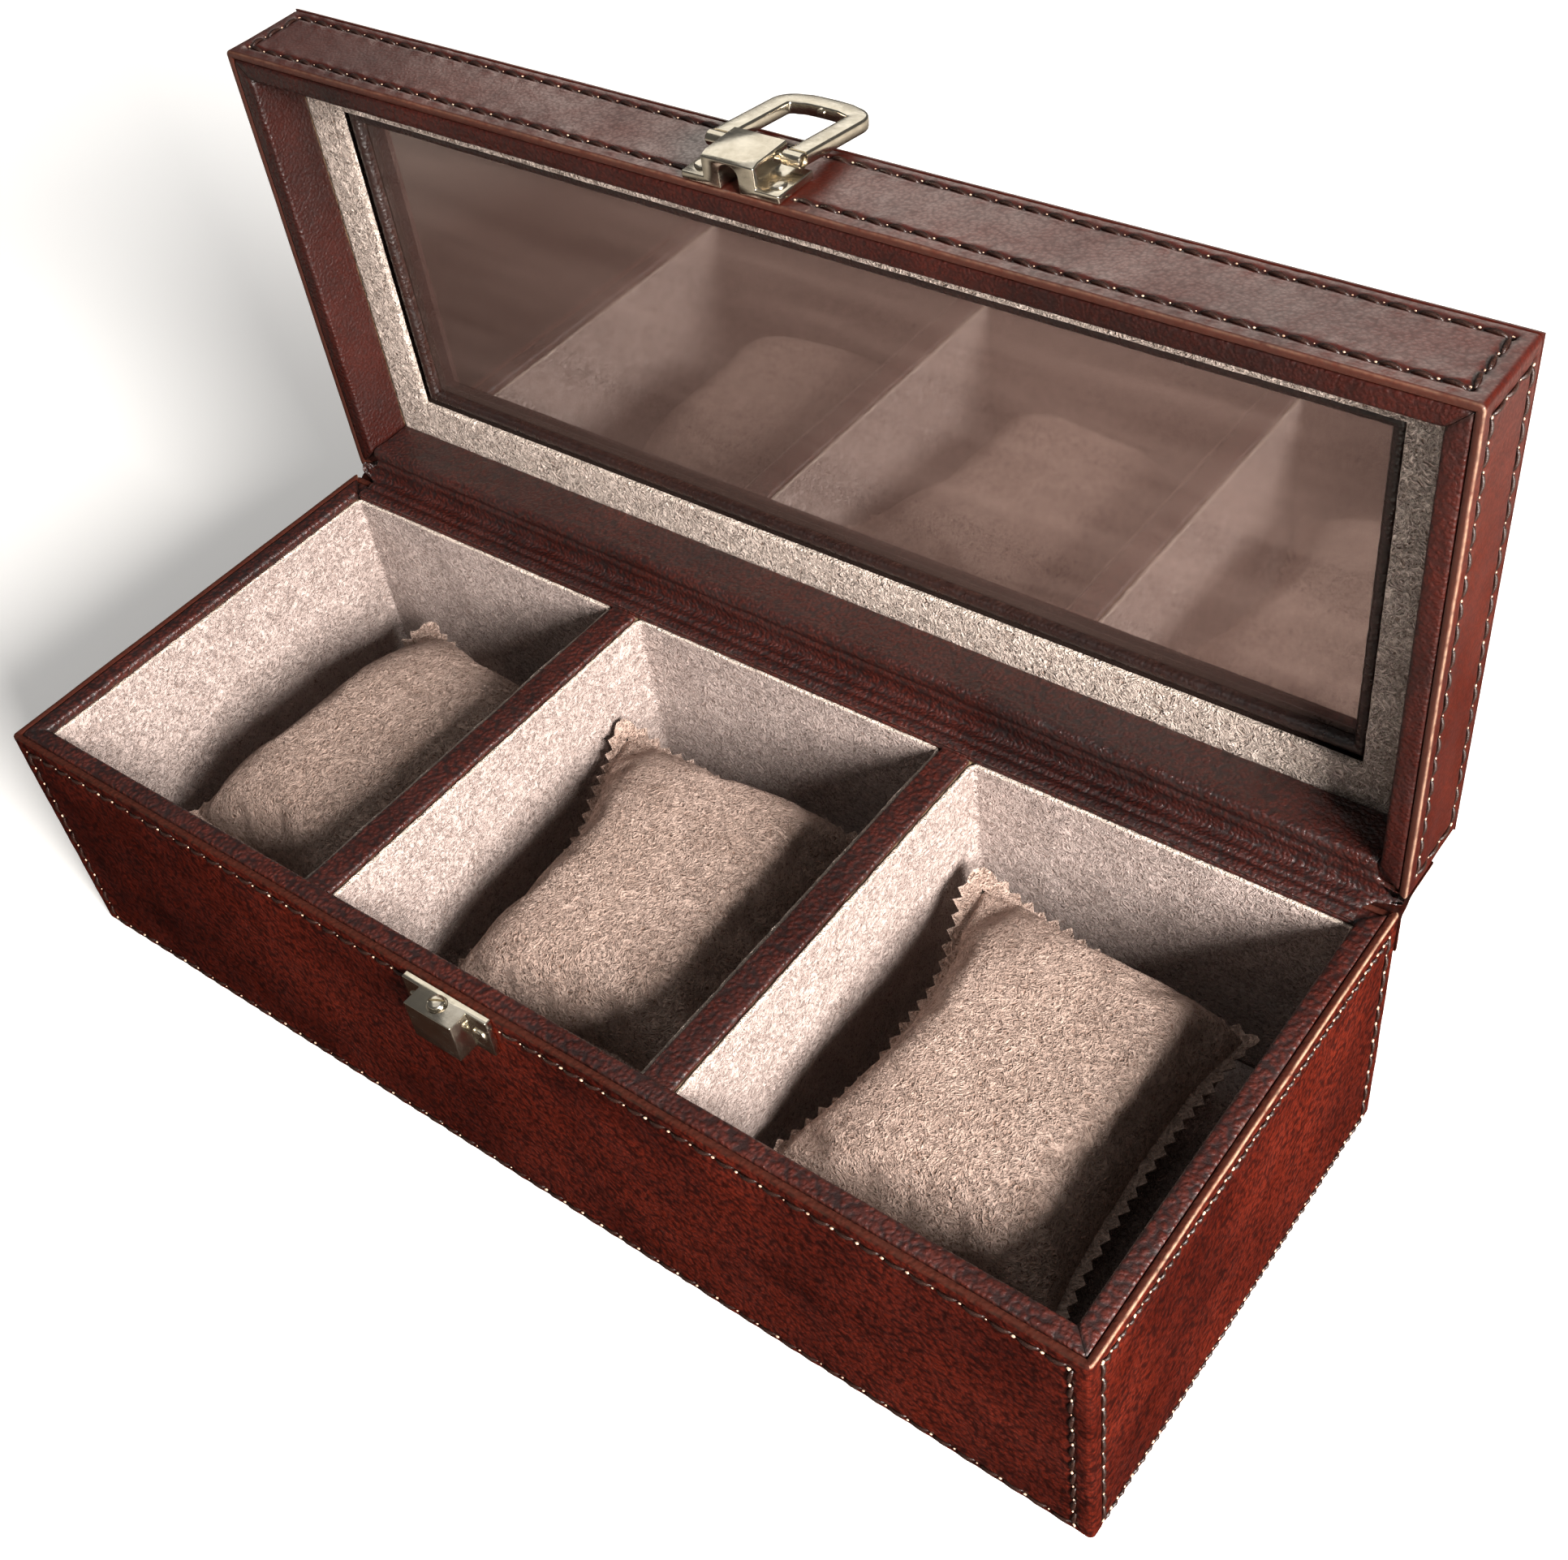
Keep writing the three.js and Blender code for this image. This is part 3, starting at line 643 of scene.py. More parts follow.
def build_base_panels():
    plate_low, plate_high = low("keeper_plate"), high("keeper_plate")
    for number, side in enumerate(SIDES):
        run = SIDES[side][0]
        top = high(f"base_{side}_leather")[2]
        pitch = SIDE_PITCH if side in ("left", "right") else LONG_PITCH
        gaps = [(BASE_SEAM_TOP, plate_low[0] - 1.0, plate_high[0] + 1.0)] if side == "front" else []
        seams = box_seams(run, BASE_SEAM_FOOT, BASE_SEAM_TOP, pitch, UPRIGHT_PITCH, gaps=gaps)
        name = f"base_{side}_leather_cover"
        # How strongly the rounded top edge is painted pale as a highlight, strongest on the end panels, and the size of
        # the pale beads at the holes.
        edge, bead = (0.65, 0.3) if side in ("left", "right") else (0.05, 0.27)
        panel(name, side, 0.0, top, seams, 11 + 10 * number, as_it_is, "base", f"base_{side}_leather",
              edge=edge, bead=bead)


LID_SEAM_LOW = 3.5
LID_SEAM_HIGH = 19.0


def build_lid_panels():
    plate_low, plate_high = low("clasp_plate"), high("clasp_plate")
    for number, side in enumerate(SIDES):
        run = SIDES[side][0]
        bottom = low(f"lid_{side}_leather")[1] - LID_RIM_Y
        gaps = [(LID_SEAM_LOW, plate_low[0] - 0.8, plate_high[0] + 0.8)] if side == "front" else []
        seams = box_seams(run, LID_SEAM_LOW, LID_SEAM_HIGH - 0.6, LONG_PITCH, UPRIGHT_PITCH, gaps=gaps)
        name = f"lid_{side}_leather_cover"
        # the lid's panels are cut at the rim, so they are built rim side up and then turned over
        flipped = [Seam(s.level, LID_SIDE_TOP - s.place, s.holes[0], s.holes[-1], s.pitch) if s.level else
                   Seam(False, s.place, LID_SIDE_TOP - s.holes[-1], LID_SIDE_TOP - s.holes[0], s.pitch)
                   for s in seams]

        def place(points):
            turned = np.array(points)
            turned[..., 2] = LID_SIDE_TOP - turned[..., 2]
            return stood_open(turned)

        # How strongly the rounded top edge is painted pale as a highlight, strongest on the end panels, and the size of
        # the pale beads at the holes.
        edge, bead = (0.4, 0.22) if side in ("left", "right") else (0.15, 0.18)

        panel(name, side, 0.0, LID_SIDE_TOP - bottom, flipped, 61 + 10 * number, place, "lid",
              f"lid_{side}_leather", foot=0.25, edge=edge, bead=bead, material=LID_OUTER)


# ---- Rims: pebbled bands with rounded edges and mitred corners, turned down inside ----
def rim(name, side, profile, place, body, stands_for, seed, material):
    run, reach, turns = SIDES[side]
    depth, up = np.array(profile).T[:, None, :]
    share, angle = wall_stations(0, int(2 * run))
    along = (share * run)[:, None]
    out = 0.05 * ripple(along, depth * 3 + up, 9, seed)
    points = wall_points(run - 0.06, reach, 0, share, angle, depth, 0 * out, up)
    end_gap = np.maximum(0, (1 - np.abs(share[:, None])) * (run - depth))
    points[..., 2] += out - 0.22 * np.exp(-((end_gap / 0.5) ** 2)) * np.sign(profile_rise(profile))
    shade = np.exp(-((end_gap / 0.35) ** 2)) + 0 * up
    obj = loft(name, place(quarter_turns(points, turns)), material, sharp=50, marks={"shade": shade * 0.8})
    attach(obj, body)
    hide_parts(stands_for)
    return obj


def profile_rise(profile):
    """Which way a rim's crown faces: 1 for the base's rim, -1 for the lid's, which hangs below its plane."""
    heights = np.array(profile)[:, 1]
    return 1.0 if abs(heights.max() - BASE_TOP) < 2 else -1.0


def base_rim_profile(top):
    thick = 1.1
    start, inner = RIM_START, RIM_INNER
    profile = [(start, top - thick)]
    profile += arc((start + 0.5, top - 0.5), 0.5, 180, 90, 4)
    profile += [(start + share * (inner - start), top + 0.08 * math.sin(math.pi * share)) for share in np.linspace(0.2, 0.75, 8)]
    profile += arc((inner - 0.75, top - 0.75), 0.75, 90, 0, 6)
    profile += [(inner, LIP_BOTTOM + 0.3), (inner - 0.2, LIP_BOTTOM + 0.05), (inner - 0.55, LIP_BOTTOM + 0.1)]
    profile += [(inner - 0.6, top - thick)]
    return profile


def lid_rim_profile(bottom):
    """As the base rim, upside down, with the leather carried up the lid's inner wall to the suede frame."""
    start, inner = RIM_START, RIM_INNER
    profile = [(start, bottom + 1.1)]
    profile += arc((start + 0.5, bottom + 0.5), 0.5, 180, 270, 4)
    profile += [(start + share * (inner - start), bottom - 0.08 * math.sin(math.pi * share)) for share in np.linspace(0.2, 0.75, 8)]
    profile += arc((inner - 0.75, bottom + 0.75), 0.75, 270, 360, 6)
    profile += [(inner, up) for up in np.linspace(bottom + 1.2, LID_LINING_TOP, 10)]
    profile += [(inner - 0.6, LID_LINING_TOP), (inner - 0.6, bottom + 1.1)]
    return profile


def build_rims():
    for number, side in enumerate(SIDES):
        top = high(f"base_rim_{side}")[2]
        rim(f"base_rim_{side}_band", side, base_rim_profile(top), as_it_is, "base", f"base_rim_{side}", 5 + number, RIM)
        bottom = low(f"lid_rim_{side}")[1] - LID_RIM_Y
        profile = lid_rim_profile(bottom)
        rim(f"lid_rim_{side}_band", side, profile, stood_open, "lid", f"lid_rim_{side}", 25 + number, LID_RIM)


# ---- Inside of the base: divider caps, suede walls and floors ----
def build_divider_caps():
    for number, side in enumerate(("left", "right")):
        node = f"divider_{side}_cap"
        (x0, y0, z0), (x1, y1, z1) = low(node), high(node)
        middle, half, radius = (x0 + x1) / 2, (x1 - x0) / 2, 0.55
        edge = half - radius
        outline = [(-half + 0.1, z0)]
        outline += arc((-edge, z1 - radius), radius, 180, 90, 5)
        outline += [(edge * share, z1 + 0.1 * (1 - share * share)) for share in np.linspace(-0.85, 0.85, 9)]
        outline += arc((edge, z1 - radius), radius, 90, 0, 5)
        outline += [(half - 0.1, z0)]
        across, up = np.array(outline).T[None, :, :].transpose(1, 0, 2)
        y = np.linspace(y0, y1, 96)[:, None]
        wander = 0.08 * ripple(y, 0 * y, 14, 41 + number)
        dip = 0.05 * ripple(y, across, 8, 43 + number)
        points = np.stack(np.broadcast_arrays(middle + across + wander, y, up + dip * (up > z0 + 0.3)), -1)
        obj = loft(f"divider_{side}_cap_band", points, RIM, sharp=50)
        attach(obj, "base")
        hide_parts(node)


def build_linings():
    for number, name in enumerate(("left", "centre", "right")):
        node = f"lining_wall_{name}"
        (x0, y0, z0), (x1, y1, z1) = low(node), high(node)
        half_x, half_y = (x1 - x0) / 2, (y1 - y0) / 2
        thick, top = 1.0, z1 + 0.1
        profile = [(0.0, z0), (0.0, top - 0.4)]
        profile += arc((0.5, top - 0.4), (0.5, 0.4), 180, 0, 7)[1:]
        profile += [(thick, up) for up in np.linspace(top - 0.9, z0, 34)]

        def relief(along, depth, up, turn, seed=81 + 4 * number, top=top):
            inner = (depth > 0.6) * 1.0
            waves = 0.16 * ripple(along + 40 * turn, up, 24, seed) + 0.05 * ripple(along + 40 * turn, up, 5, seed + 1)
            return -waves * inner

        sections = ring_sections(half_x, half_y, 1.9, 1.3, profile, relief)
        frayed = (sections[..., 2] > top - 0.6) * 0.14
        sections[..., 2] += frayed * ripple(sections[..., 0], sections[..., 1], 3.0, 90 + number)
        cut = (np.array(profile)[:, 1] > top - 0.35)[None, :] * np.ones((len(sections), 1))
        sections += [(x0 + x1) / 2, (y0 + y1) / 2, 0]
        obj = loft(f"lining_wall_{name}_suede", sections, SUEDE, ring=True, sharp=None, marks={"cut": cut * 0.8})
        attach(obj, "base")
        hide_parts(node)
        build_lining_floor(name, 97 + number)


def build_lining_floor(name, seed):
    """The floor's suede: a thin pad, slightly uneven, with rounded edges."""
    node = f"lining_floor_{name}"
    (x0, y0, z0), (x1, y1, z1) = low(node), high(node)
    rows, columns = 40, 40
    v, u = np.meshgrid(np.linspace(0, 1, rows), np.linspace(0, 1, columns), indexing="ij")
    x, y = x0 + u * (x1 - x0), y0 + v * (y1 - y0)
    edge = np.minimum(np.minimum(x - x0, x1 - x), np.minimum(y - y0, y1 - y))
    top = z1 - 0.3 * np.exp(-edge / 0.8) + 0.06 * ripple(x, y, 18, seed)
    sheets = [np.stack([x, y, np.minimum(top, z1 + 0.1)], -1), np.stack([x, y, z0 + 0 * x], -1)]
    sections = np.concatenate([sheets[0], sheets[1][:, ::-1]], axis=1)
    obj = loft(f"lining_floor_{name}_suede", sections, SUEDE, sharp=50)
    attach(obj, "base")
    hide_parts(node)


# ---- Pillows: two panels sewn together round their edges, puffed up by cloth simulation ----
class Pillow:
    """Plan and seam of one pillow; ears lift its corners."""

    def __init__(self, name, x, half_x, half_y, turn, ears, seed):
        self.name, self.x, self.half_x, self.half_y = name, x, half_x, half_y
        self.turn, self.ears, self.seed = math.radians(turn), ears, seed
        self.floor, self.top = low(f"pillow_{name}")[2], high(f"pillow_{name}")[2]
        self.seam = self.floor + 0.5 * (self.top - self.floor)
        lining = f"lining_wall_{name}"
        self.walls = low(lining)[0] + 1.3, high(lining)[0] - 1.3

    def plan(self, u, v):
        """Place of a panel point; the sides pull in between the corners."""
        pull_x = np.where(u < 0, 0.2, 0.13) * (1 - v * v) * np.abs(u) ** 3
        pull_y = 0.05 * (1 - u * u) * np.abs(v) ** 3
        x = self.half_x * u * (1 - pull_x)
        y = self.half_y * v * (1 - pull_y)
        x = x + 1.3 * ripple(v * 40, u * 0, 60, self.seed) * np.abs(u)
        cos, sin = math.cos(self.turn), math.sin(self.turn)
        return np.clip(self.x + x * cos - y * sin, *self.walls), x * sin + y * cos

    def seam_height(self, u, v):
        lift = 0
        for (side_u, side_v), rise in self.ears.items():
            nearness = np.clip((1 + side_u * u) / 2, 0, 1) * np.clip((1 + side_v * v) / 2, 0, 1)
            lift = lift + rise * nearness ** 1.2
        return self.seam + lift + 0.7 * ripple(u * 30, v * 40, 34, self.seed + 1)


def pillow_grid(count_u, count_v):
    """Two grids joined round the edge: (u, v, side) for each point, and the faces."""
    points, faces, index = [], [], {}
    for side in (1, -1):
        for j in range(count_v + 1):
            for i in range(count_u + 1):
                border = i in (0, count_u) or j in (0, count_v)
                key = (i, j, 0 if border else side)
                if key not in index:
                    index[key] = len(points)
                    points.append((2 * i / count_u - 1, 2 * j / count_v - 1, key[2]))
        for j in range(count_v):
            for i in range(count_u):
                corners = [(i, j), (i + 1, j), (i + 1, j + 1), (i, j + 1)]
                found = []
                for a, b in corners:
                    border = a in (0, count_u) or b in (0, count_v)
                    found.append(index[(a, b, 0 if border else side)])
                faces.append(found if side == 1 else found[::-1])
    return np.array(points, float), faces


def pillow_start(pillow, grid):
    """The unfilled shape: both panels curved a little less than they end up."""
    u, v, side = grid.T
    x, y = pillow.plan(u, v)
    seam = pillow.seam_height(u, v)
    across, along = np.where(u < 0, 2.5, 3.6), np.where(v > 0, 3.4, 4.5)
    dome = ((1 - np.abs(u) ** across) * (1 - np.abs(v) ** along)) ** 0.5
    up = np.where(side > 0, pillow.top - 1.0 - seam, seam - pillow.floor - 1.0) * dome
    bulge = 4 * dome * (1 - dome) * 3.0
    x = x + np.sign(u) * np.abs(u) ** 6 * bulge * (1 - v ** 4) * np.where(u < 0, 0.2, 0.15)
    y = y + np.sign(v) * np.abs(v) ** 6 * bulge * (1 - u ** 4) * 0.5
    return np.stack([x, y, seam + side * up], -1)


def puff(obj, pinned, limit):
    """Runs the cloth simulation on obj and keeps its result, moving no point further than the limit."""
    before = np.array([v.co for v in obj.data.vertices])
    group = obj.vertex_groups.new(name="seam")
    group.add([int(k) for k in pinned], 1.0, "REPLACE")
    cloth = obj.modifiers.new("cloth", "CLOTH")
    cloth.settings.quality = 6
    cloth.settings.mass = 0.12
    cloth.settings.tension_stiffness = 12
    cloth.settings.compression_stiffness = 12
    cloth.settings.shear_stiffness = 4
    cloth.settings.bending_stiffness = 2.5
    cloth.settings.air_damping = 2.5
    cloth.settings.vertex_group_mass = "seam"
    cloth.settings.shrink_min = -0.03
    cloth.settings.use_pressure = True
    cloth.settings.uniform_pressure_force = 4
    cloth.settings.effector_weights.gravity = 0
    cloth.collision_settings.use_collision = False
    scene = bpy.context.scene
    for number in range(1, 21):
        scene.frame_set(number)
    evaluated = obj.evaluated_get(bpy.context.evaluated_depsgraph_get())
    after = np.array([v.co for v in evaluated.data.vertices])
    obj.modifiers.remove(cloth)
    obj.vertex_groups.clear()
    scene.frame_set(1)
    move = after - before
    distance = np.linalg.norm(move, axis=1, keepdims=True)
    return before + move * np.minimum(1, limit * MM / np.maximum(distance, 1e-9))


def settle(points, pillow):
    """Keeps the pillow on the floor and under its height, easing the points in rather than cutting them."""
    lowest, highest = (pillow.floor + 0.1) * MM, (pillow.top + 1.5) * MM
    ease = 2.5 * MM
    z = points[:, 2]
    z = lowest + ease * np.logaddexp(0, (z - lowest) / ease) - ease * 0.0
    z = highest - ease * np.logaddexp(0, (highest - z) / ease)
    points[:, 2] = np.maximum(z, lowest)
    return points


def subdivide(obj):
    modifier = obj.modifiers.new("smooth", "SUBSURF")
    modifier.levels = modifier.render_levels = 1
    evaluated = obj.evaluated_get(bpy.context.evaluated_depsgraph_get())
    mesh = bpy.data.meshes.new_from_object(evaluated)
    obj.modifiers.remove(modifier)
    old, obj.data = obj.data, mesh
    mesh.name = old.name
    bpy.data.meshes.remove(old)
    obj.data.shade_smooth()
    return obj


def pinked_edge(name, pillow, path):
    """The seam allowance left outside the stitching: two layers of suede cut in a zigzag."""
    steps = np.linalg.norm(np.diff(path, axis=0, append=path[:1]), axis=1)
    length = steps.sum()
    teeth = int(round(length / 3.5))
    per_tooth = 6
    at = np.concatenate([[0], np.cumsum(steps)])
    closed = np.concatenate([path, path[:1]])
    place = np.arange(teeth * per_tooth) / (teeth * per_tooth) * length
    line = np.stack([np.interp(place, at, closed[:, k]) for k in range(3)], -1)
    ahead, behind = np.roll(line, -3, axis=0), np.roll(line, 3, axis=0)
    along = ahead - behind
    along /= np.linalg.norm(along, axis=1, keepdims=True)
    outward = np.cross(along, [0, 0, 1.0])
    outward /= np.linalg.norm(outward, axis=1, keepdims=True)
    phase = (np.arange(teeth * per_tooth) % per_tooth) / per_tooth
    tooth = 1 - np.abs(2 * phase - 1)
    draw = np.random.default_rng(pillow.seed + 7)
    uneven = np.repeat(draw.uniform(0.8, 1.2, teeth), per_tooth)
    at_ear = np.hypot(line[:, 0] - line[:, 0].min(), line[:, 1] - line[:, 1].max())
    near_ear = np.exp(-((at_ear / 12) ** 2))
    reach = (1.0 + 1.8 * near_ear + 1.5 * tooth * uneven)[:, None, None]
    curl = ripple(place, 0 * place, 26, pillow.seed + 9)[:, None, None]
    share = np.array([-0.5, 0.35, 0.75, 1.0, 1.0, 0.75, 0.35, -0.5])[None, :, None]
    half = 0.35
    layer = np.array([half, half, half * 0.9, half * 0.5, -half * 0.5, -half * 0.9, -half, -half])[None, :, None]
    upward = np.array([0, 0, 1.0])[None, None, :]
    lift = (0.5 + 0.7 * curl) * np.maximum(share, 0) ** 2 * reach * 0.6
    points = line[:, None, :] + outward[:, None, :] * share * reach + upward * (layer + lift)
    points[..., 0] = np.clip(points[..., 0], *pillow.walls)
    cut = (share[..., 0] > 0.95) * np.ones((len(line), 1))
    return loft(name, points, PILLOW, ring=True, sharp=40, marks={"cut": cut * 0.15})


def build_pillow(pillow):
    count_u, count_v = 36, 44
    grid, faces = pillow_grid(count_u, count_v)
    start = pillow_start(pillow, grid)
    border = np.flatnonzero(grid[:, 2] == 0)
    obj = make_object(f"pillow_{pillow.name}_cushion", start, faces, PILLOW, sharp=None)
    moved = puff(obj, border, 7.0)
    obj.data.vertices.foreach_set("co", settle(moved, pillow).astype(np.float32).ravel())
    obj.data.update()
    subdivide(obj)
    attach(obj, f"pillow_{pillow.name}")
    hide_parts(f"pillow_{pillow.name}")
    turn = np.arctan2(grid[border, 1] , grid[border, 0])
    path = start[border][np.argsort(turn)]
    edge = pinked_edge(f"pillow_{pillow.name}_pinked_edge", pillow, path)
    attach(edge, f"pillow_{pillow.name}")


def build_pillows():
    back_left, front_left, back_right, front_right = (-1, 1), (-1, -1), (1, 1), (1, -1)
    middle = {name: (low(f"pillow_{name}")[0] + high(f"pillow_{name}")[0]) / 2 for name in ("left", "centre", "right")}
    flat = {back_left: 6.0, front_left: 3.0, back_right: 2.0, front_right: 0.0}
    ears = {back_left: 12.0, front_left: 5.0, back_right: 2.0, front_right: 0.0}
    build_pillow(Pillow("left", middle["left"] + 2.0, 31.0, 37.0, -5.0, flat, 201))
    build_pillow(Pillow("centre", middle["centre"], 31.0, 37.0, 7.0, ears, 221))
    build_pillow(Pillow("right", middle["right"], 31.0, 37.0, 0.0, ears, 241))


# ---- Hinge leathers: in the box they bend with the lid; here they are drawn with it stood open ----
def thick_strip(path, thickness, side):
    """Offsets a path of (y, z) points by the thickness, to one side, and returns the closed outline."""
    path = np.array(path, float)
    along = np.gradient(path, axis=0)
    along /= np.linalg.norm(along, axis=1, keepdims=True)
    normal = np.stack([-along[:, 1], along[:, 0]], -1) * side
    return np.concatenate([path, (path + normal * thickness)[::-1]])


def smooth_path(corners, radius, step):
    """A path through the corners with each inner corner rounded, sampled about every step."""
    corners = [np.array(c, float) for c in corners]
    points = [corners[0]]
    for before, corner, after in zip(corners[:-2], corners[1:-1], corners[2:]):
        inward, onward = before - corner, after - corner
        reach = min(radius, 0.45 * np.linalg.norm(inward), 0.45 * np.linalg.norm(onward))
        a = corner + inward / np.linalg.norm(inward) * reach
        b = corner + onward / np.linalg.norm(onward) * reach
        for t in np.linspace(0, 1, 7):
            points.append((1 - t) ** 2 * a + 2 * t * (1 - t) * corner + t * t * b)
    points.append(corners[-1])
    points = np.array(points)
    length = np.concatenate([[0], np.cumsum(np.linalg.norm(np.diff(points, axis=0), axis=1))])
    places = np.linspace(0, length[-1], int(length[-1] / step) + 1)
    return np.stack([np.interp(places, length, points[:, k]) for k in range(2)], -1)


def hinge_strip(name, node, path, thickness, side, material, seed, half_run=None, creases=()):
    outline = thick_strip(path, thickness, side)
    count = len(path)
    x1 = half_run or high(node)[0]
    x0 = -x1
    x = np.linspace(x0, x1, 268)[:, None]
    y, z = outline.T[:, None, :]
    place = np.arange(2 * count)[None, :] * 0.5
    wrinkles = 0.06 * ripple(x * 0.25, place, 3.2, seed) + 0.07 * ripple(x, place, 11, seed + 1)
    for crease_y, crease_z, depth in creases:
        away = np.hypot(y - crease_y, z - crease_z)
        wrinkles = wrinkles - depth * np.exp(-((away / 0.75) ** 2))
    visible = (np.arange(2 * count) < count)[None, :]
    along = np.gradient(outline[:count], axis=0)
    along /= np.linalg.norm(along, axis=1, keepdims=True)
    normal = np.stack([along[:, 1], -along[:, 0]], -1) * side
    normal = np.concatenate([normal, normal[::-1]])
    lift = wrinkles * visible
    ends = np.clip(np.minimum(x - x0, x1 - x) / 1.0, 0, 1)
    lift = lift - 0.15 * (1 - ends) * visible
    at_fold = np.exp(-((np.hypot(y - HALF_WIDTH - 1.6, z - BASE_TOP - 0.9) / 1.7) ** 4))
    near_end = np.clip(1 - (x1 - np.abs(x)) / 8.0, 0, 1)
    x = x + np.sign(x) * (HALF_LENGTH - 0.4 - x1) * near_end * at_fold
    y = y + lift * normal[None, :, 0]
    z = z + lift * normal[None, :, 1]
    shade = 0.9 * (1 - visible) + 0 * x
    obj = loft(name, np.stack(np.broadcast_arrays(x, y, z), -1), material, sharp=60, marks={"shade": shade})
    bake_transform(obj)
    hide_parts(node)
    return obj


def build_hinge():
    node = "hinge_strip_inner"
    (_, y0, z0), (_, y1, z1) = low(node), high(node)
    top, face = BASE_TOP, LID_RIM_Y
    inner = [(y0, top - 0.5), (y0 + 1.2, top), (y0 + 4.5, top), (y0 + 6.0, top - 0.5), (face - 0.85, top + 0.3),
             (face - 0.1, top + 0.9), (face + 0.25, top + 1.8), (face, top + 3.2), (face, z1 - 1.5), (face + 0.5, z1 - 0.1),
             (face + 1.6, z1 + 0.05), (face + 5, z1 - 0.25), (y1 - 0.3, z1 - 0.05)]
    creases = [(y0 + 3.2, top, 0.55), (face - 0.9, top + 0.25, 0.5), (face + 0.1, top + 4.4, 0.5)]
    path = smooth_path(inner, 1.1, 0.3)
    hinge_strip("hinge_strip_inner_leather", node, path, 0.8, -1, HINGE, 301, creases=creases)
    node = "hinge_strip_outer"
    (_, y0, z0), (_, y1, z1) = low(node), high(node)
    fold_y = LID_RIM_Y + 0.8 + 0.2
    outer = [(y0 + 1.0, z0), (y0 + 1.0, BASE_TOP - 2.4), (fold_y + 0.2, BASE_TOP - 2.0),
             (fold_y + 1.4, z1 - 1.0), (y1, z1 - 1.0)]
    hinge_strip("hinge_strip_outer_leather", node, smooth_path(outer, 1.0, 0.45), 0.8, 1, OUTER, 311, HALF_LENGTH - 0.1)


# ---- Lid: suede frame, glazing bead, glass and the leather round its top ----
def lid_ring(name, node, profile, material, step=1.2, relief=None, marks=None, sharp=50):
    sections = ring_sections(HALF_LENGTH, HALF_WIDTH, 0, step, profile, relief)
    obj = loft(name, stood_open(sections), material, ring=True, sharp=sharp, marks=marks and marks(len(sections)))
    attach(obj, "lid")
    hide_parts(node)
    return obj


def lid_depths(node):
    """The range of depths in from the lid's outer faces and of heights off its rim plane that a ring fills."""
    return HALF_LENGTH - high(node)[0], low(node)[1] - LID_RIM_Y, high(node)[1] - LID_RIM_Y


def build_suede_frame():
    outer, bottom, top = lid_depths("lid_suede_frame")
    inner = lid_depths("glazing_bead")[0] + 11.0
    profile = [(outer, top), (outer, bottom + 0.5), (outer + 0.7, bottom + 0.05)]
    profile += [(outer + 0.7 + share * (inner - outer - 1.4), bottom - 0.12 * math.sin(math.pi * share)) for share in np.linspace(0.06, 0.94, 16)]
    profile += arc((inner - 0.6, bottom + 0.6), 0.6, 270, 360, 5)
    profile += [(inner, top)]

    def relief(along, depth, up, turn):
        edge = np.minimum(np.abs(depth - outer - 0.7), np.abs(depth - inner + 0.6)) < 0.1
        fringe = 0.3 * ripple(along + 60 * turn, up, 1.5, 403) * edge
        return fringe + 0.06 * ripple(along + 60 * turn, depth * 2, 9, 401) * (up < bottom + 0.5)

    def marks(rows):
        depth = np.array(profile)[:, 0]
        return {"cut": np.tile(np.clip((depth - inner + 0.5) / 0.4, 0, 1) * 0.4, (rows, 1))}

    return lid_ring("lid_suede_frame_pad", "lid_suede_frame", profile, FRAME_SUEDE, 0.6, relief, marks)


def build_bead():
    outer, bottom, top = lid_depths("glazing_bead")
    start, inner = outer + 11.2, outer + 13.9
    radius = (inner - start) / 2
    profile = [(start - 1.5, top), (start - 0.4, bottom + 1.2)]
    profile += arc((start + radius, bottom + 1.35), (radius, 1.3), 180, 360, 11)
    profile += [(inner, top)]

    def relief(along, depth, up, turn):
        return 0.06 * ripple(along + 50 * turn, depth, 6, 411)

    return lid_ring("glazing_bead_leather", "glazing_bead", profile, DARK, 1.2, relief)


def build_glass():
    outer, bottom, top = lid_depths("glass_pane")
    half_x, half_y = high("glass_pane")[0], HALF_WIDTH - outer
    bevel = 0.3
    rows = []
    for inset, up in ((bevel, bottom), (0, bottom + bevel), (0, top - bevel), (bevel, top)):
        x, y = half_x - inset, half_y - inset
        rows.append([(-x, -y, up), (x, -y, up), (x, y, up), (-x, y, up)])
    obj = loft("glass_pane_smoky", stood_open(np.array(rows)), GLASS, sharp=20)
    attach(obj, "lid")
    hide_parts("glass_pane")


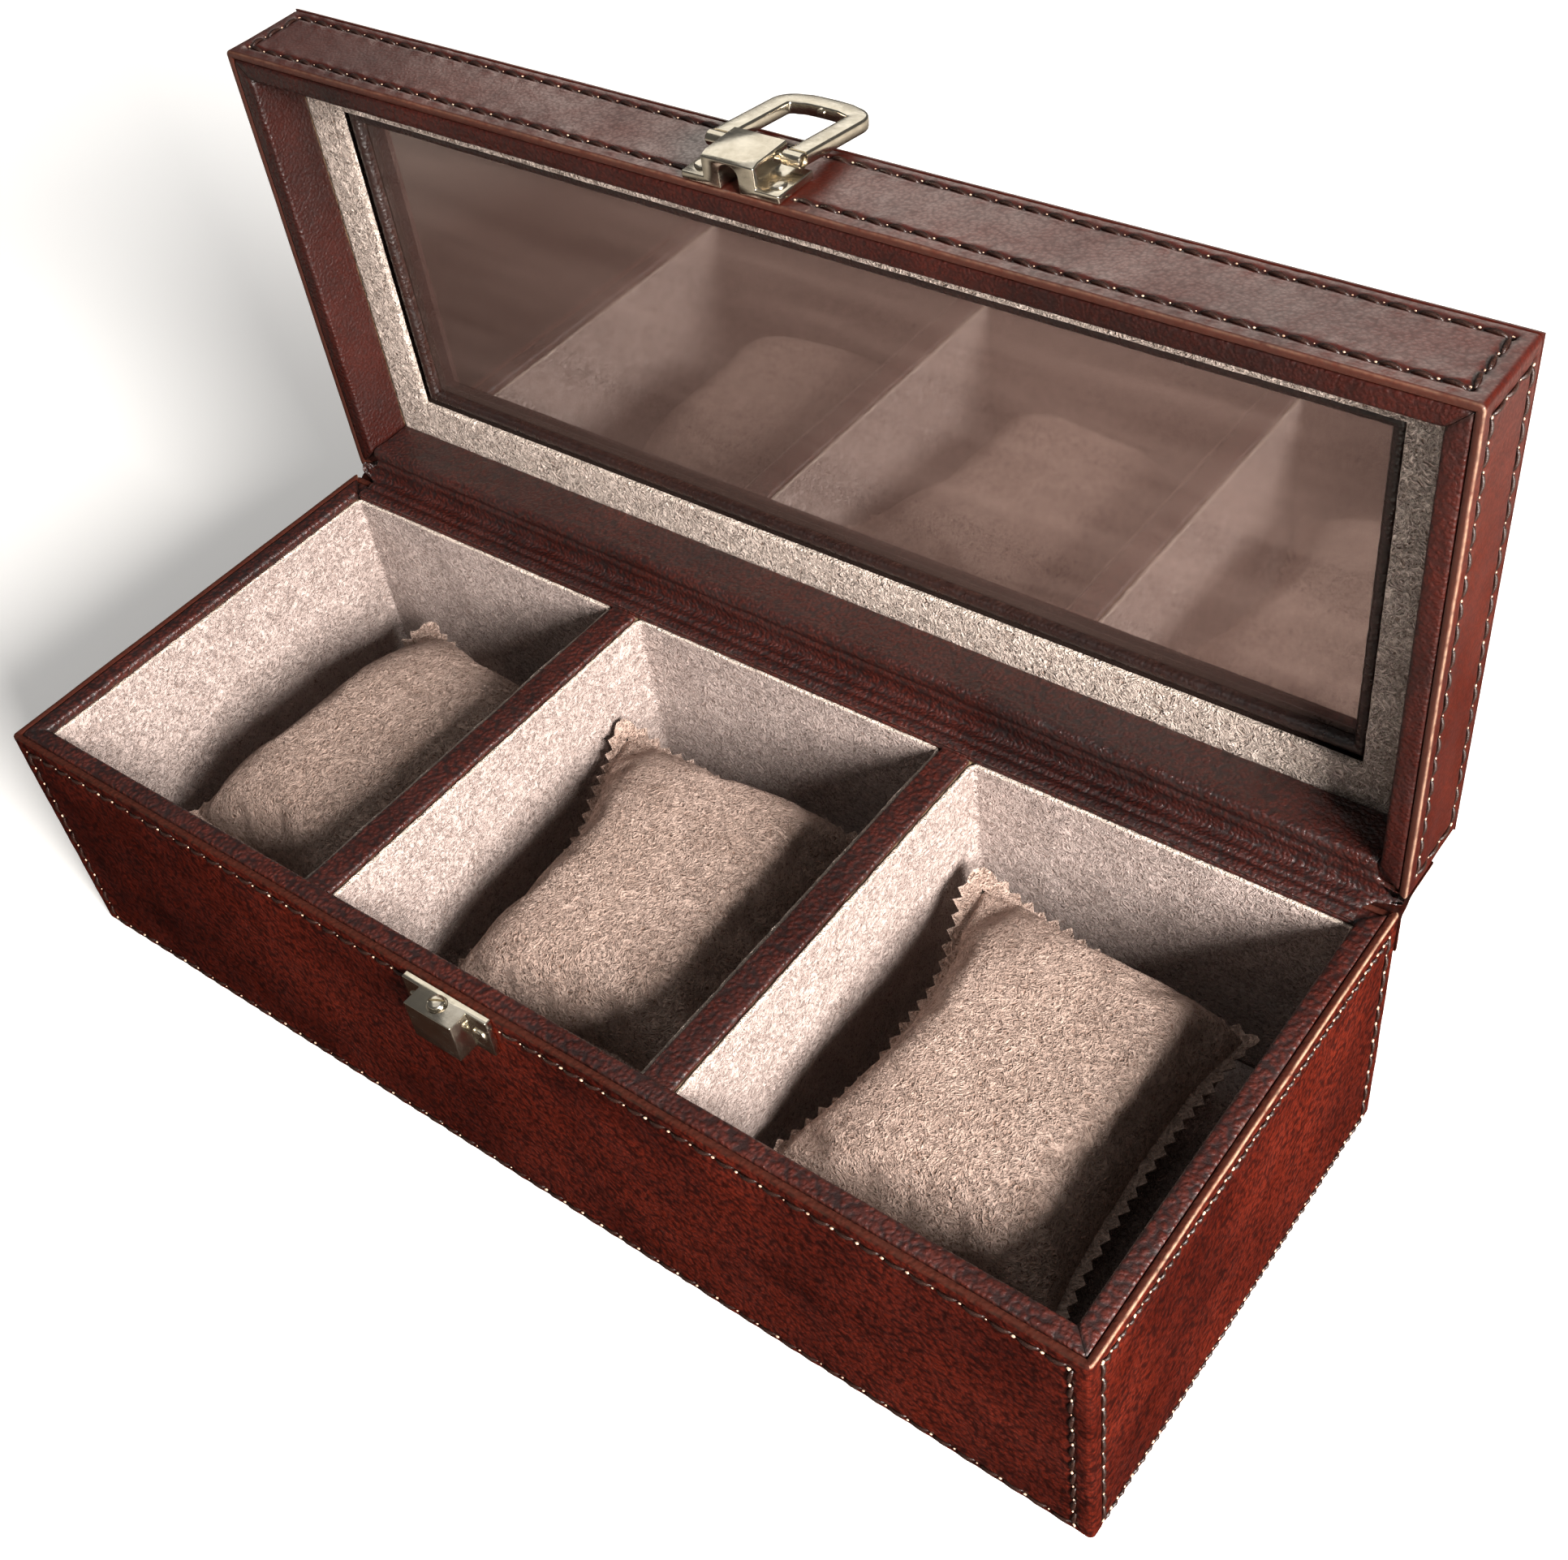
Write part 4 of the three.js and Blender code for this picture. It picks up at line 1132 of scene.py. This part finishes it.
def build_lid_top():
    _, bottom, top = lid_depths("lid_top_leather")
    inner = HALF_LENGTH - high("glass_pane")[0] + 13.0
    frame_bottom = low("lid_top_frame")[1] - LID_RIM_Y
    seams = {}
    for turn, run in enumerate([HALF_LENGTH, HALF_WIDTH] * 2):
        rows = []
        for inset in (3.6, inner - 3.2):
            rows.append(Seam(True, inset, -run + inset, run - inset, LONG_PITCH))
        seams[turn] = rows
    depths = set(np.round(np.arange(1.2, inner - 1.0, 0.9), 3))
    for inset in (3.6, inner - 3.2):
        depths |= set(np.round(inset + np.arange(-2.1, 2.11, 0.35), 3))
    kept = []
    for depth in sorted(depths):
        if 1.15 < depth < inner - 1.0 and (not kept or depth - kept[-1] > 0.2):
            kept.append(depth)
    profile = [(0.6, bottom), (0.0, bottom + 0.25)]
    profile += arc((0.9, top - 0.9), 0.9, 180, 90, 6)
    profile += [(depth, top) for depth in kept]
    profile += arc((inner - 0.9, top - 0.9), 0.9, 90, 0, 5)
    profile += [(inner, frame_bottom + 0.3), (inner - 0.4, frame_bottom + 0.1), (inner - 0.45, bottom)]
    depth, up = np.array(profile).T[:, None, :]
    sections = ring_sections(HALF_LENGTH, HALF_WIDTH, 0, 0.75, profile)
    rows = len(sections)
    counts = [max(3, int(2 * run / 0.75)) - 1 for run in [HALF_LENGTH, HALF_WIDTH] * 2]
    relief, shade = [], []
    for turn, run in enumerate([HALF_LENGTH, HALF_WIDTH] * 2):
        share = np.linspace(-1, 1, counts[turn] + 1)[:-1, None]
        along = share * (run - depth)
        hollow = 0.06 * ripple(along + 70 * turn, depth, 24, 421)
        # Painted shade in the seams' grooves and holes, and at the mitres.
        painted_shade = 0 * along
        for seam in seams[turn]:
            hollow = hollow + seam.relief(along, depth)
            painted_shade = np.maximum(painted_shade, seam.shade(along, depth))
        mitre = np.exp(-(((1 - np.abs(share)) * (run - depth) / 0.5) ** 2))
        relief.append(hollow - 0.15 * mitre)
        shade.append(np.maximum(painted_shade, 0.8 * mitre))
    on_top = np.clip(1 - (top - up) / 0.6, 0, 1)
    sections[..., 2] += np.concatenate(relief) * on_top
    obj = loft("lid_top_leather_cover", stood_open(sections), LID_OUTER, ring=True, sharp=50,
               marks={"shade": np.concatenate(shade) * on_top})
    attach(obj, "lid")
    LID_PIECES.objects.link(obj)
    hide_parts("lid_top_leather")
    places = []
    for turn, (run, reach) in enumerate([(HALF_LENGTH, HALF_WIDTH), (HALF_WIDTH, HALF_LENGTH)] * 2):
        def face_of(run_at, depth_at, out, turn=turn, reach=reach):
            return stood_open(quarter_turns(np.stack([run_at, depth_at - reach, top + out], -1), turn))

        places += stitch_places(seams[turn], face_of, 431 + turn)
    stitches = copies("lid_top_stitching", STITCH, STITCH_FACES, places, THREAD)
    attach(stitches, "lid")


# ---- Clasp ----
def bevelled(obj, width, segments=3, angle=30):
    """Rounds an object's sharp edges and keeps the result as its mesh."""
    modifier = obj.modifiers.new("edges", "BEVEL")
    modifier.width = width * MM
    modifier.segments = segments
    modifier.limit_method = "ANGLE"
    modifier.angle_limit = math.radians(angle)
    modifier.harden_normals = True
    evaluated = obj.evaluated_get(bpy.context.evaluated_depsgraph_get())
    mesh = bpy.data.meshes.new_from_object(evaluated)
    obj.modifiers.remove(modifier)
    obj.data = mesh
    mesh.shade_smooth()
    mesh.set_sharp_from_angle(angle=math.radians(28))
    return obj


def carved(obj, *cutters):
    """Cuts the cutters out of obj, and removes them."""
    for cutter in cutters:
        modifier = obj.modifiers.new("cut", "BOOLEAN")
        modifier.operation = "DIFFERENCE"
        modifier.object = cutter
        modifier.solver = "EXACT"
        evaluated = obj.evaluated_get(bpy.context.evaluated_depsgraph_get())
        mesh = bpy.data.meshes.new_from_object(evaluated)
        obj.modifiers.remove(modifier)
        obj.data = mesh
        bpy.data.objects.remove(cutter)
    return obj


def prism(name, outline, levels, material, place=as_it_is):
    """An outline of (x, out) points carried up through the levels; a level may reshape it."""
    rows = []
    for level, reshape in levels:
        x, out = np.array(outline, float).T
        out = reshape(x, out) if reshape else out
        rows.append(np.stack([x, -out, np.full(len(x), level)], -1))
    return loft(name, place(np.array(rows)), material, sharp=30)


def shut_wall(points, centre, face):
    """From (x off the clasp's middle, -out, height) to the shut lid's or the base's front wall."""
    return np.asarray(points) + [centre, face, 0]


def clasp_centre():
    return (low("clasp_plate")[0] + high("clasp_plate")[0]) / 2


def plate_outline(plate_half, block_half, thickness, depth, slot_half=0.0, slot_depth=0.0):
    outline = [(-plate_half, 0)]
    if slot_half:
        outline += [(-slot_half, 0)]
        outline += arc((0, slot_depth - slot_half), slot_half, 180, 0, 13)
        outline += [(slot_half, 0)]
    outline += [(plate_half, 0), (plate_half, thickness), (block_half, thickness), (block_half, depth)]
    outline += [(-block_half, depth), (-block_half, thickness), (-plate_half, thickness)]
    return outline


def dome(name, radius, height, material, place, slot_width=0.55, slot_turn=0.0, collar=0.25):
    """A round screw head: short side, domed top, a slot across it. Axis along +Z at the origin."""
    rings = [(radius, 0.0), (radius, collar)]
    rings += [(radius * math.cos(a), collar + (height - collar) * math.sin(a)) for a in np.radians(np.linspace(15, 88, 7))]
    around = 36
    turn = 2 * math.pi * np.arange(around) / around
    rows = [np.stack([r * np.cos(turn), r * np.sin(turn), np.full(around, up)], -1) for r, up in rings]
    head = loft(name, np.array(rows), material, sharp=32)
    half = slot_width / 2
    cutter = box_mesh("cutter", (-radius * 1.5, -half, height * 0.5), (radius * 1.5, half, height * 2))
    turned = Matrix.Rotation(slot_turn, 4, "Z")
    cutter.data.transform(turned)
    carved(head, cutter)
    points = np.array([v.co for v in head.data.vertices]) / MM
    head.data.vertices.foreach_set("co", (place(points) * MM).astype(np.float32).ravel())
    head.data.update()
    head.data.shade_smooth()
    head.data.set_sharp_from_angle(angle=math.radians(30))
    return head


def box_mesh(name, lowest, highest, material=None):
    (x0, y0, z0), (x1, y1, z1) = lowest, highest
    rows = [[(x0, y0, z), (x1, y0, z), (x1, y1, z), (x0, y1, z)] for z in (z0, z1)]
    return loft(name, np.array(rows), material or NICKEL, sharp=30)


def metal(obj, body, *stands_for):
    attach(obj, body)
    if stands_for:
        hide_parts(*stands_for)
    METAL_PIECES.objects.link(obj)
    return obj


def lid_wall(points):
    """(x off the clasp's middle, -out, height) on the shut lid's front wall, stood open."""
    face = -HALF_WIDTH
    return stood_open(shut_wall(points, clasp_centre(), face))


def build_lid_clasp():
    (x0, y0, z0), (x1, y1, z1) = low("clasp_plate"), high("clasp_plate")
    bottom, top = y0 - LID_RIM_Y, y1 - LID_RIM_Y
    face = z0 - (LID_BACK_Z + 2 * HALF_WIDTH)
    depth, thickness = z1 - z0, 1.6
    half, hood_half = (x1 - x0) / 2, 6.0
    outline = plate_outline(half, hood_half, thickness, depth, 2.2, 5.1)

    def slope(drop):
        return lambda x, out: np.where(out > depth - 0.1, depth - drop * (1 - (x / hood_half) ** 2 * 0.0), out)

    levels = [(bottom, slope(0.6)), (bottom + 1.6, None), (top, None)]
    plate = prism("clasp_plate_hood", outline, levels, NICKEL)
    recesses = []
    for side in (-1, 1):
        inner, outer = sorted((side * (hood_half - 1.6), side * (hood_half + 1)))
        recesses.append(box_mesh("recess", (inner, -(depth - 1.5), bottom + 1.6), (outer, -(thickness + 0.0), top + 1)))
    carved(plate, *recesses)
    bevelled(plate, 0.22)
    place_mesh(plate, lambda p: lid_wall(p + [0, -face, 0]))
    metal(plate, "lid", "clasp_plate")
    for side, sign in (("left", -1), ("right", 1)):
        node = f"clasp_screw_{side}"
        centre = (low(node) + high(node)) / 2
        offset, up = centre[0] - clasp_centre(), centre[1] - LID_RIM_Y

        def place(points, offset=offset, up=up):
            x, y, z = points.T
            return lid_wall(np.stack([x + offset, -(z + face + thickness), y + up], -1))

        metal(dome(f"clasp_screw_{side}_head", 1.75, 0.85, NICKEL, place, slot_turn=0.7 * sign), "lid", node)
    build_pin()
    build_bail()


def place_mesh(obj, place):
    """Moves every point of a mesh by a function of millimetre points."""
    points = np.array([v.co for v in obj.data.vertices]) / MM
    obj.data.vertices.foreach_set("co", (place(points) * MM).astype(np.float32).ravel())
    obj.data.update()
    return obj


def build_pin():
    node = "bail_pin"
    (x0, y0, z0), (x1, y1, z1) = low(node), high(node)
    radius = (y1 - y0) / 2
    turn = 2 * math.pi * np.arange(24) / 24
    rows = []
    for x, share in ((x0, 0.6), (x0 + 0.12, 0.9), (x0 + 0.35, 1), (x1 - 0.35, 1), (x1 - 0.12, 0.9), (x1, 0.6)):
        rows.append([(x, (y0 + y1) / 2 + radius * share * math.cos(a), (z0 + z1) / 2 + radius * share * math.sin(a)) for a in turn])
    metal(loft("bail_pin_rod", np.array(rows), NICKEL, sharp=30), "lid", node)


def bail_place():
    """How the bail's own (across, along, off) points stand at rest: lying back from its pin over the lid."""
    pin = (low("bail_pin") + high("bail_pin")) / 2
    tilt = math.radians(7)

    def place(points):
        across, along, off = np.moveaxis(np.asarray(points, float), -1, 0)
        y = pin[1] + along * math.cos(tilt) + off * math.sin(tilt)
        z = pin[2] - along * math.sin(tilt) + off * math.cos(tilt)
        return np.stack([clasp_centre() + across, y, z], -1)

    return place


def build_bail():
    """A U-shaped loop: flat-faced arms with rounded edges, an arched far bar, knuckles on the pin and a peg."""
    place = bail_place()
    arm_half = 4.25 / 2
    half_thick = 1.35
    middle = (high("bail")[0] - low("bail")[0]) / 2 - arm_half - 0.05
    shoulder, tip = 18.4, 22.2
    line = [(-middle, along) for along in np.linspace(1.2, shoulder, 14)]
    line += arc((-middle + 3.4, shoulder), (3.4, tip - 0.9 - shoulder), 180, 100, 9)[1:]
    line += [(x, tip + 0.35 * (1 - (x / (middle - 3)) ** 2) - 0.55) for x in np.linspace(-middle + 3.4, 0, 6)[1:]]
    line = np.array(line)
    line = np.concatenate([line, (line * [-1, 1])[::-1][1:]])
    along = np.gradient(line, axis=0)
    along /= np.linalg.norm(along, axis=1, keepdims=True)
    normal = np.stack([-along[:, 1], along[:, 0]], -1)
    turn = 2 * math.pi * np.arange(28) / 28
    power = 0.36
    wide = arm_half * np.sign(np.cos(turn)) * np.abs(np.cos(turn)) ** power
    thick = half_thick * np.sign(np.sin(turn)) * np.abs(np.sin(turn)) ** power
    rows = [np.stack([p[0] + n[0] * wide, p[1] + n[1] * wide, thick], -1) for p, n in zip(line, normal)]
    loop = loft("bail_loop", place(np.array(rows)), NICKEL, sharp=40)
    metal(loop, "bail", "bail")
    for side, sign in (("left", -1), ("right", 1)):
        outer, bore, half = 1.42, 1.16, arm_half
        ring = []
        for radius, x in ((bore, half), (bore, -half), (outer - 0.15, -half), (outer, -half + 0.2), (outer, half - 0.2), (outer - 0.15, half)):
            ring.append((radius, x))
        angles = 2 * math.pi * np.arange(32) / 32
        rows = [[(sign * middle + x, r * math.cos(a), r * math.sin(a)) for r, x in ring] for a in angles]
        metal(loft(f"bail_knuckle_{side}", place(np.array(rows)), NICKEL, ring=True, sharp=30), "bail")
    peg_rows = []
    for along_at, radius in ((21.0, 0.95), (19.9, 0.95), (19.5, 0.8), (19.4, 0.4)):
        peg_rows.append([(radius * math.cos(a), along_at, radius * math.sin(a)) for a in 2 * math.pi * np.arange(20) / 20])
    metal(loft("bail_peg", place(np.array(peg_rows)), NICKEL, sharp=40), "bail")


def build_keeper():
    (x0, y0, z0), (x1, y1, z1) = low("keeper_plate"), high("keeper_plate")
    centre, face = (x0 + x1) / 2, -y1 - HALF_WIDTH
    depth, thickness = y1 - y0, 1.6
    half, block_half = (x1 - x0) / 2, 6.2
    outline = plate_outline(half, block_half, thickness, depth)
    plate = prism("keeper_plate_block", outline, [(z0, None), (z1, None)], NICKEL)
    bevelled(plate, 0.2)
    place_mesh(plate, lambda p: shut_wall(p, centre, -HALF_WIDTH - 0.2))
    metal(plate, "base", "keeper_plate")
    stud = (low("keeper_stud") + high("keeper_stud")) / 2

    def stud_place(points):
        return points + [stud[0], stud[1], low("keeper_stud")[2] - 0.2]

    metal(dome("keeper_stud_head", 1.8, 1.5, NICKEL, stud_place, slot_turn=0.5, collar=0.8), "base", "keeper_stud")
    # A dark ring round the stud: painted shade of the gap round its head.
    around = 36
    turn = 2 * math.pi * np.arange(around) / around
    rows = []
    for radius, up in ((1.9, -0.15), (1.9, 0.03), (2.15, 0.05), (2.2, -0.15)):
        rows.append(np.stack([stud[0] + radius * np.cos(turn), stud[1] + radius * np.sin(turn), np.full(around, z1 + up)], -1))
    sections = np.array(rows).transpose(1, 0, 2)
    metal(loft("keeper_stud_ring", sections, DARK_METAL, ring=True, sharp=30), "base")
    for side, sign in (("left", -1), ("right", 1)):
        node = f"keeper_screw_{side}"
        middle = (low(node) + high(node)) / 2

        def place(points, middle=middle):
            x, y, z = points.T
            return np.stack([x + middle[0], -HALF_WIDTH - 0.2 - thickness - z, y + middle[2]], -1)

        metal(dome(f"keeper_screw_{side}_head", 1.75, 0.85, NICKEL, place, slot_turn=0.9 * sign), "base", node)


# ---- Underside and hidden boards ----
def build_underside():
    node = "base_bottom_cover"
    (x0, y0, z0), (x1, y1, z1) = low(node), high(node)
    rows, columns = 60, 140
    v, u = np.meshgrid(np.linspace(0, 1, rows), np.linspace(0, 1, columns), indexing="ij")
    x, y = x0 + u * (x1 - x0), y0 + v * (y1 - y0)
    edge = np.minimum(np.minimum(x - x0, x1 - x), np.minimum(y - y0, y1 - y))
    under = z0 + 0.35 * np.exp(-edge / 0.7) + 0.04 * (1 + ripple(x, y, 30, 501))
    sections = np.concatenate([np.stack([x, y, under], -1), np.stack([x, y, z1 + 0 * x], -1)[:, ::-1]], axis=1)
    obj = loft("base_bottom_cover_leather", sections, DARK, sharp=50)
    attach(obj, "base")
    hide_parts(node)


def finish_boards():
    for name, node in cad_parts.items():
        if name.endswith(("_board", "top_frame")):
            node.data.materials.clear()
            node.data.materials.append(BOARD)


# ---- Floor, light and camera ----
def floor_look():
    """Plain pale paint. Mirrored in the box it looks darker near the box, a painted shade, as a floor shaded by a
    screen would. Seen by the camera it glows, more so further off: painted light that pales the box's shadow.
    """
    look = Look("floor_paint", 0.85)
    mirrored = look.node("ShaderNodeLightPath", "Is Glossy Ray", {})
    seen = look.node("ShaderNodeLightPath", "Is Camera Ray", {})
    distance = look.node("ShaderNodeVectorMath", 1, {0: look.where}, operation="LENGTH")
    shaded = look.mix(look.range(distance, 0.3, 0.5), (36, 20, 13), (206, 200, 190))
    look.set("Base Color", look.mix(mirrored, (247, 246, 244), shaded))
    look.set("Specular IOR Level", 0.1)
    # Painted light: for the camera the floor glows, 0.22 near the box to 0.85 far off, paling the box's shadow.
    look.set("Emission Color", (1.0, 0.99, 0.975, 1.0))
    look.set("Emission Strength", look.math("MULTIPLY", seen, look.range(distance, 0.2, 0.9, 0.22, 0.85)))
    return look.material


def build_stage():
    size = 4000
    rows = [[(-size, -size, -60.0 * 0 - 0.15), (size, -size, -0.15), (size, size, -0.15), (-size, size, -0.15)]]
    mesh_rows = np.array(rows + [[(x, y, -20.0) for x, y, _ in rows[0]]])
    floor = loft("floor", mesh_rows, floor_look(), sharp=30)
    world = bpy.data.worlds.new("studio")
    bpy.context.scene.world = world
    world.use_nodes = True
    sky = world.node_tree.nodes["Background"]
    sky.inputs["Color"].default_value = (1.0, 0.965, 0.93, 1)
    seen = world.node_tree.nodes.new("ShaderNodeLightPath").outputs["Is Camera Ray"]
    strength = world.node_tree.nodes.new("ShaderNodeMapRange")
    strength.inputs["To Min"].default_value, strength.inputs["To Max"].default_value = 0.11, 0.9
    world.node_tree.links.new(seen, strength.inputs["Value"])
    world.node_tree.links.new(strength.outputs["Result"], sky.inputs["Strength"])
    softbox("key", (950, -309, 530), (0, 0, 40), (420, 420), 49.0, (1.0, 0.965, 0.93))
    softbox("sheen", (-330, 950, 700), (0, 68, 174), (1150, 460), 8.5, (1.0, 0.91, 0.82), LID_PIECES)
    softbox("card", (-620, 640, 860), (0, 0, 100), (1100, 1100), 4.6, (1.0, 0.97, 0.9), METAL_PIECES)
    softbox("overhead", (-100, -60, 1100), (0, 0, 60), (900, 900), 1.6, (1.0, 0.98, 0.96))
    bpy.context.scene.view_settings.view_transform = "Standard"


def softbox(name, place, aim, size, power, tone, only=None):
    light = bpy.data.lights.new(name, "AREA")
    light.shape = "RECTANGLE"
    light.size, light.size_y = (side * MM for side in size)
    light.energy = power
    light.color = tone
    lamp = bpy.data.objects.new(name, light)
    bpy.context.scene.collection.objects.link(lamp)
    lamp.location = Vector(place) * MM
    lamp.rotation_mode = "QUATERNION"
    lamp.rotation_quaternion = (Vector(aim) - Vector(place)).to_track_quat("-Z", "Y")
    if only:
        lamp.light_linking.receiver_collection = only


def build_camera():
    azimuth, elevation, roll = (math.radians(a) for a in (43.82, 45.06, -9.45))
    distance, slide_right, slide_up = 449.4, 22.9, 51.0
    back = Vector((math.sin(azimuth) * math.cos(elevation), -math.cos(azimuth) * math.cos(elevation), math.sin(elevation)))
    level = Vector((math.cos(azimuth), math.sin(azimuth), 0))
    upward = back.cross(level)
    right = math.cos(roll) * level + math.sin(roll) * upward
    up = -math.sin(roll) * level + math.cos(roll) * upward
    place = (back * distance + right * slide_right + up * slide_up) * MM
    data = bpy.data.cameras.new("camera")
    camera = bpy.data.objects.new("camera", data)
    bpy.context.scene.collection.objects.link(camera)
    data.sensor_width = 36.0
    data.lens = 45.43
    data.clip_start, data.clip_end = 0.01, 20.0
    turned = Matrix((right, up, back)).transposed().to_4x4()
    camera.matrix_world = Matrix.Translation(place) @ turned
    bpy.context.scene.camera = camera


build_base_panels()
build_lid_panels()
build_rims()
build_divider_caps()
build_linings()
build_hinge()
build_suede_frame()
build_bead()
build_glass()
build_lid_top()
build_keeper()
build_lid_clasp()
build_underside()
finish_boards()
build_pillows()
build_stage()
build_camera()
